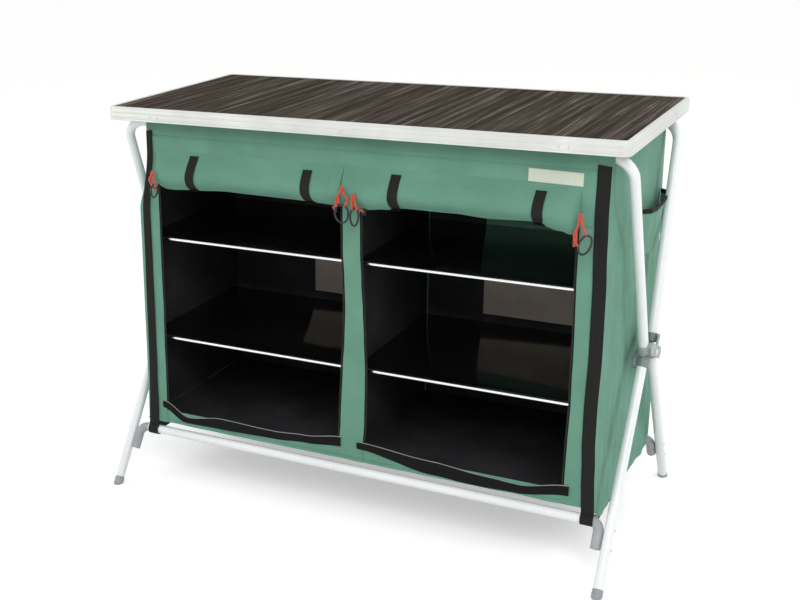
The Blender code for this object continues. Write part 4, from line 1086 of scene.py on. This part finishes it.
def make_pocket():
    """A gusseted pocket on the right wall, gathered by elastic along its top edge."""
    flat = (0.216, 0.104)

    def place(across, up):
        y = POCKET_FRONT + (POCKET_BACK - POCKET_FRONT) * across
        held = ease(across / 0.16) * ease((1 - across) / 0.10)
        rim = POCKET_TOP - 0.004 * sin(pi * across) ** 2 - 0.002 * hump(across - 0.36, 0.10)
        base = POCKET_TIP + 0.022 * ease(abs(across - 0.52) / 0.5)
        z = base + (rim - base) * up
        pinch = 0.0006 * sin(across * 61) * ease((up - 0.80) / 0.2)
        pleat = 0.0022 * hump(across - 0.30 - 0.25 * (1 - up), 0.03)
        out = (0.0075 + 0.0135 * up) * held * min(up / 0.06, 1) ** 0.5
        out += (pinch + pleat + 0.0012 * ripple(y, z, 0.03, 2.0)) * held * min(up / 0.1, 1)
        return Vector((WALL_OUTER + 0.0006 + min(max(out, 0), 0.0225), y, z))

    cloth = dress(panel("pocket_cloth", 90, 60, flat, place), GREEN, "side_pocket")
    rim = [place(share, 1.0) + Vector((0.0001, 0, -0.0015)) for share in steps_along(81)]
    band = dress(tape("pocket_elastic", rim, 0.0085, (0, 0, 1), 120, 0.0019), WEBBING)
    seam = [place(share, 0.0) + Vector((0.0004, 0, 0.0012)) for share in steps_along(61)]
    welt = dress(tube("pocket_seam", seam, 0.0008), GREEN)
    return [cloth, band, welt]


# The label: the place of its lower left corner, its length and width, its slant and its rows of stitches
LABEL_X, LABEL_Z = 0.3400, 0.7408
LABEL_SIZE = (0.0965, 0.0235)
LABEL_SLANT = 0.0022
LABEL_ROWS = (0.7423, 0.7628)


def make_label():
    """A bare woven label, stitched down round its edge."""
    length, width = LABEL_SIZE

    def place(across, up):
        x = LABEL_X + length * across
        z = LABEL_Z + width * up
        return Vector((x, -(FACE + 0.0013) + 0.0004 * ripple(x, z, 0.04, 2.0), z - LABEL_SLANT * across))

    return dress(panel("bare_label", 24, 8, LABEL_SIZE, place, 0.0008), PATCH)


# Shelves: thickness of a board, and how far back and how high its trim reaches
BOARD_THICK = 0.0040
TRIM_DEPTH = 0.0090
TRIM_HEIGHT = 0.0050


def make_shelf(node):
    """A board with rounded corners and its bright edge trim."""
    low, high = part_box(node)
    middle = (low + high) / 2
    board = block(f"{node}_board", middle + Vector((0, SEAT, 0)),
                  (high.x - low.x, high.y - low.y - 2 * SEAT, BOARD_THICK))

    def upright(edge):
        first, second = (board.data.vertices[index].co for index in edge.vertices)
        return abs(first.z - second.z) > 0.002 and abs(first.x - second.x) < 0.001

    edit(board, bpy.ops.mesh.bevel, upright, edges=True, offset=0.006, segments=5)
    round_edges(board, 0.0005, 2, 60)
    dress(settle(board), SHELF, node, body=node)
    trim = block(f"{node}_trim", (middle.x, low.y + 0.0046, middle.z),
                 (high.x - low.x - 0.0005, TRIM_DEPTH, TRIM_HEIGHT))
    edit(trim, bpy.ops.mesh.delete, lambda face: face.normal.y > 0.9 or abs(face.normal.x) > 0.9, type='FACE')
    round_edges(trim, 0.0009, 3, 40)
    modify(trim, 'SOLIDIFY', thickness=0.0007, offset=-1)
    dress(face_out(trim), TRIM, body=node)


def make_ledges():
    """Webbing ledges, sewn to the walls, that carry the shelves."""
    length, width = 0.334, 0.0155
    wall = WALL_OUTER - 0.004
    items = []
    for level in ("lower", "upper"):
        low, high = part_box(f"shelf_{level}_right")
        top = (low.z + high.z) / 2 - 0.0036
        for word, start, into in (("right", wall, -1), ("left", -wall, 1), ("middle_right", 0.0008, 1),
                                  ("middle_left", -0.0008, -1)):
            def place(across, up):
                turned = 0.0012 * max(0, 0.3 - up)
                return Vector((start + into * width * up, length * across - 0.172, top - turned))

            items.append(dress(panel(f"ledge_{level}_{word}", 40, 4, (length, width), place, 0.0016), WEBBING))
    return items


# Zip sliders, each with a cord and an oval ring to pull it by
def cord_points(control, steps):
    """A smooth curve through the control points."""
    points = [Vector(place) for place in control]
    ends = [points[0] * 2 - points[1]] + points + [points[-1] * 2 - points[-2]]
    smooth = []
    for before, start, end, after in zip(ends, ends[1:], ends[2:], ends[3:]):
        for t in steps_along(steps + 1)[:-1]:
            smooth.append(0.5 * (2 * start + (end - before) * t
                                 + (2 * before - 5 * start + 4 * end - after) * t * t
                                 + (3 * start - before - 3 * end + after) * t ** 3))
    return smooth + points[-1:]


# Per slider, in millimetres: the top of its cord, its two feet, the middle of its ring and the ring's half
# width and half height, each as (across, up), then in degrees the ring's tilt and where round it the feet end
PULLS = {"left_outer": (((-429, 699), (-436.5, 680), (-425.5, 679), (-426.5, 659), (7.8, 14)), -12, (125, 60)),
         "left_inner": (((-6.8, 705.6), (-17, 679), (5, 680), (-6.2, 653), (13.8, 17.5)), 4, (125, 58)),
         "right_inner": (((17, 692), (14, 676), (21.5, 676), (20, 648.5), (8.5, 16.8)), -4, (120, 60)),
         "right_outer": (((441.2, 696), (432.5, 654), (450.5, 664), (451.5, 643), (10, 18)), -20, (205, 115))}
PULL_Y = -(FACE + 0.0268)
SLIDER_SIZE = (0.0090, 0.0034, 0.0135)
CORD_RADIUS = 0.0021
KNOT_RADIUS = 0.0018
RING_RADIUS = 0.0020
BAIL_RADIUS = 0.0008


def make_slider(word, lengths, tilt, ends):
    node = f"zip_slider_{word}"
    low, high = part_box(node)
    centre, back, top = (low.x + high.x) / 2, high.y, high.z
    middle = top - 0.0075
    body = block(f"{node}_body", (centre, back - 0.0018, middle), SLIDER_SIZE)
    edit(body, bpy.ops.mesh.subdivide, number_cuts=2)
    for vertex in body.data.vertices:
        down = (vertex.co.z - middle) / 0.0068
        vertex.co.x = centre + (vertex.co.x - centre) * (1 - 0.28 * max(-down, 0) - 0.12 * (1 - abs(down)))
    edit(body, bpy.ops.mesh.inset, lambda face: face.normal.y < -0.9, thickness=0.0008, depth=0.0005)
    round_edges(body, 0.0006, 2, 30)
    dress(settle(body), BLACK_PLASTIC, node, body=node)
    front = back - 0.0050
    arch = ((0.0016, 0.0125), (-0.0012, 0.0110), (-0.0016, 0.0070), (-0.0012, 0.0035), (0.0016, 0.0020))
    bridge = [(centre, front + out, top - drop) for out, drop in arch]
    dress(tube(f"{node}_bail", cord_points(bridge, 6), BAIL_RADIUS), BLACK_PLASTIC, body=node)

    eye, left, right, ring, half = metres(lengths)
    lean_cos, lean_sin = cos(radians(tilt)), sin(radians(tilt))
    oval = []
    for angle in (2 * pi * step / 48 for step in range(48)):
        across, up = half[0] * cos(angle), half[1] * sin(angle)
        oval.append(Vector((ring[0] + across * lean_cos - up * lean_sin,
                            PULL_Y - 0.0012 + 0.0012 * sin(angle * 2),
                            ring[1] + across * lean_sin + up * lean_cos)))
    dress(tube(f"{node}_ring", oval, RING_RADIUS, closed=True, resolution=5), BLACK_PLASTIC, body=node)
    eye, left, right = (Vector((across, y, up)) for (across, up), y in
                        zip((eye, left, right), (PULL_Y, PULL_Y, PULL_Y - 0.0006)))
    left_end, right_end = (oval[round(48 * angle / 360) % 48] + Vector((0, -0.0012, 0)) for angle in ends)
    knot = eye.lerp((left + right) / 2, 0.28)
    first = [(centre, front - 0.0026, top - 0.0065), (centre, front - 0.0060, top - 0.0020),
             (left.x * 0.4 + centre * 0.6, PULL_Y + 0.0070, min(left.z, right.z) - 0.0160),
             (left.x * 0.8 + right.x * 0.2, PULL_Y + 0.0004, left.z - 0.0060), left.lerp(knot, 0.35),
             knot + Vector((-0.0017, 0, 0)), eye + Vector((-0.0019, 0, -0.0014)), eye,
             eye + Vector((0.0019, 0, -0.0014)), knot + Vector((0.0017, 0, 0)), right, right_end]
    second = [knot + Vector((0, -0.0004, 0)), left + Vector((0, -0.0012, 0.0020)), left_end]
    for number, control in ((1, first), (2, second)):
        cord = tube(f"{node}_cord_{number}", cord_points(control, 8), CORD_RADIUS, resolution=4)
        dress(cord, CORD, body=node)
    turns = [knot + Vector((0.0030 * cos(4 * pi * share), 0.0021 * sin(4 * pi * share),
                            0.0019 * (2 * share - 1))) for share in steps_along(31)]
    dress(tube(f"{node}_knot", turns, KNOT_RADIUS, resolution=4), CORD, body=node)


# Seams
def make_stitches():
    """Rows of stitching: the sleeve seam, the webbing's edges, the ties' ends, the apron and the label."""
    front = -(FACE + 0.0006)
    sleeve = [(-0.455 + 0.91 * share, front + 0.0012, SEAM_Z + 0.0002) for share in steps_along(230)]
    hem = [(x / 1000, front - 0.0001, HEM_Z + 0.0075) for x in range(-430, 431, 4)]
    label = [(0.3415 + 0.0935 * step / 29, front - 0.0013, row - LABEL_SLANT * step / 29)
             for step in range(30) for row in LABEL_ROWS]
    items = [stitch_row("sleeve_stitches", sleeve, (1, 0, 0)), stitch_row("hem_stitches", hem, (1, 0, 0)),
             stitch_row("label_stitches", label, (1, 0, 0), 0.0020, 0.0003, PATCH)]
    for name, side in SIDES:
        rows = []
        for z in (0.150 + 0.61 * share for share in steps_along(150)):
            inner = SEAM_X + lean(-1, side, z) - strap_front(-1, side, z) / 2
            rows += [(side * (inner + edge), -(FACE_Y + 0.0021), z) for edge in (0.0022, 0.0098)]
        items.append(stitch_row(f"webbing_stitches_{name}", rows, (0, 0, 1), 0.0024, 0.0003, WEBBING))
        ends = []
        for tie, (middle, slant, _, begin) in TIES.items():
            if tie.startswith(name):
                place = roll_place(middle, begin + 0.010, 0.0019)
                ends += [place + Vector((slant / 2 - 0.0070 + 0.0028 * step, 0, 0)) for step in range(6)]
        items.append(stitch_row(f"tie_stitches_{name}", ends, (1, 0, 0), 0.0020, 0.0003, WEBBING))
    return items


# Assembly
make_frames()
make_hubs()
make_tabletop()
header, header_length = make_hung_panel(-1, "header_cloth", HEADER_LOW_Z, "header")
back, back_length = make_hung_panel(1, "back_cloth", HEM_Z, "back_wall")
soft = [header, back] + make_front_cloth()
for name, side in SIDES:
    soft += [make_side_wall(name, side), make_lining(name, side), make_base_strap(name, side)]
    soft += make_door_roll(name, side) + make_zips(name, side)
    soft += [make_corner_webbing(word, facing, name, side) for word, facing in ENDS]
    for level in ("lower", "upper"):
        make_shelf(f"shelf_{level}_{name}")
soft += make_inner_cloth() + make_back_linings() + make_ledges() + make_pocket()
on_header = make_ties() + [make_label()]
soft += on_header + make_stitches()
for word, pull in PULLS.items():
    make_slider(word, *pull)

# Every piece of cloth gets a mesh of its own
for piece in soft:
    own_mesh(piece)


# Floor, light and camera
def rays_seen(add):
    """1 for the rays that show a surface as it looks: from the camera, a mirror or through glass. Else 0."""
    kinds = ("Camera", "Glossy", "Transmission")
    camera, glossy, glass = [add("LightPath", take=f"Is {kind} Ray") for kind in kinds]
    seen = add("Math", operation='MAXIMUM', _0=camera, _1=glossy)
    return add("Math", operation='MAXIMUM', _0=seen, _1=glass)


def make_stage():
    floor = add_object(bpy.ops.mesh.primitive_plane_add, "studio_floor", size=40, location=(0, 0, -0.0002))
    add, finish = new_material("studio_white", 0.9, Base_Color=colour("F6F6F5"),
                               Emission_Color=colour("FFFFFF"), Specular_IOR_Level=0.1)
    glow = add("Math", operation='MULTIPLY', _0=rays_seen(add), _1=0.40)
    floor.data.materials.append(finish(Emission_Strength=glow))
    world = bpy.data.worlds.new("studio")
    bpy.context.scene.world = world
    world.use_nodes = True
    world.node_tree.nodes.clear()
    add = partial(add_node, world.node_tree)
    strength = add("MapRange", To_Min=0.62, To_Max=1.0, Value=rays_seen(add))
    add("OutputWorld", Surface=add("Background", Color=(1, 1, 1, 1), Strength=strength))


# Lamps: name, place, the point they aim at, side of the square and power in watts
LAMPS = (("key_light", (1.6, -2.6, 2.6), (0.1, 0, 0.45), 1.6, 46),
         ("fill_light", (-2.6, -1.6, 1.7), (0, 0, 0.45), 2.0, 20),
         ("side_light", (2.8, 0.6, 1.8), (0.4, 0, 0.4), 1.6, 18))


def add_lamp(name, place, target, size, power):
    bpy.ops.object.light_add(type='AREA', location=place)
    lamp = bpy.context.object
    lamp.name = name
    lamp.data.shape = 'SQUARE'
    lamp.data.size = size
    lamp.data.energy = power
    lamp.rotation_euler = (Vector(target) - Vector(place)).to_track_quat('-Z', 'Y').to_euler()


def add_camera():
    camera = put_in_scene("camera", bpy.data.cameras.new("camera"))
    azimuth, elevation, roll = (radians(angle) for angle in (CAMERA_AZIMUTH, CAMERA_ELEVATION, CAMERA_ROLL))
    ahead = Vector((-sin(azimuth) * cos(elevation), cos(azimuth) * cos(elevation), -sin(elevation)))
    side = Vector((cos(azimuth), sin(azimuth), 0))
    up = side.cross(ahead)
    right = side * cos(roll) + up * sin(roll)
    over = up * cos(roll) - side * sin(roll)
    camera.matrix_world = Matrix.Translation(CAMERA_PLACE) @ Matrix((right, over, -ahead)).transposed().to_4x4()
    camera.data.lens = CAMERA_LENS
    camera.data.sensor_width = CAMERA_SENSOR
    camera.data.shift_x = CAMERA_SHIFT
    camera.data.clip_start = 0.05
    bpy.context.scene.camera = camera


make_stage()
for lamp in LAMPS:
    add_lamp(*lamp)
add_camera()
bpy.context.scene.view_settings.view_transform = 'Standard'
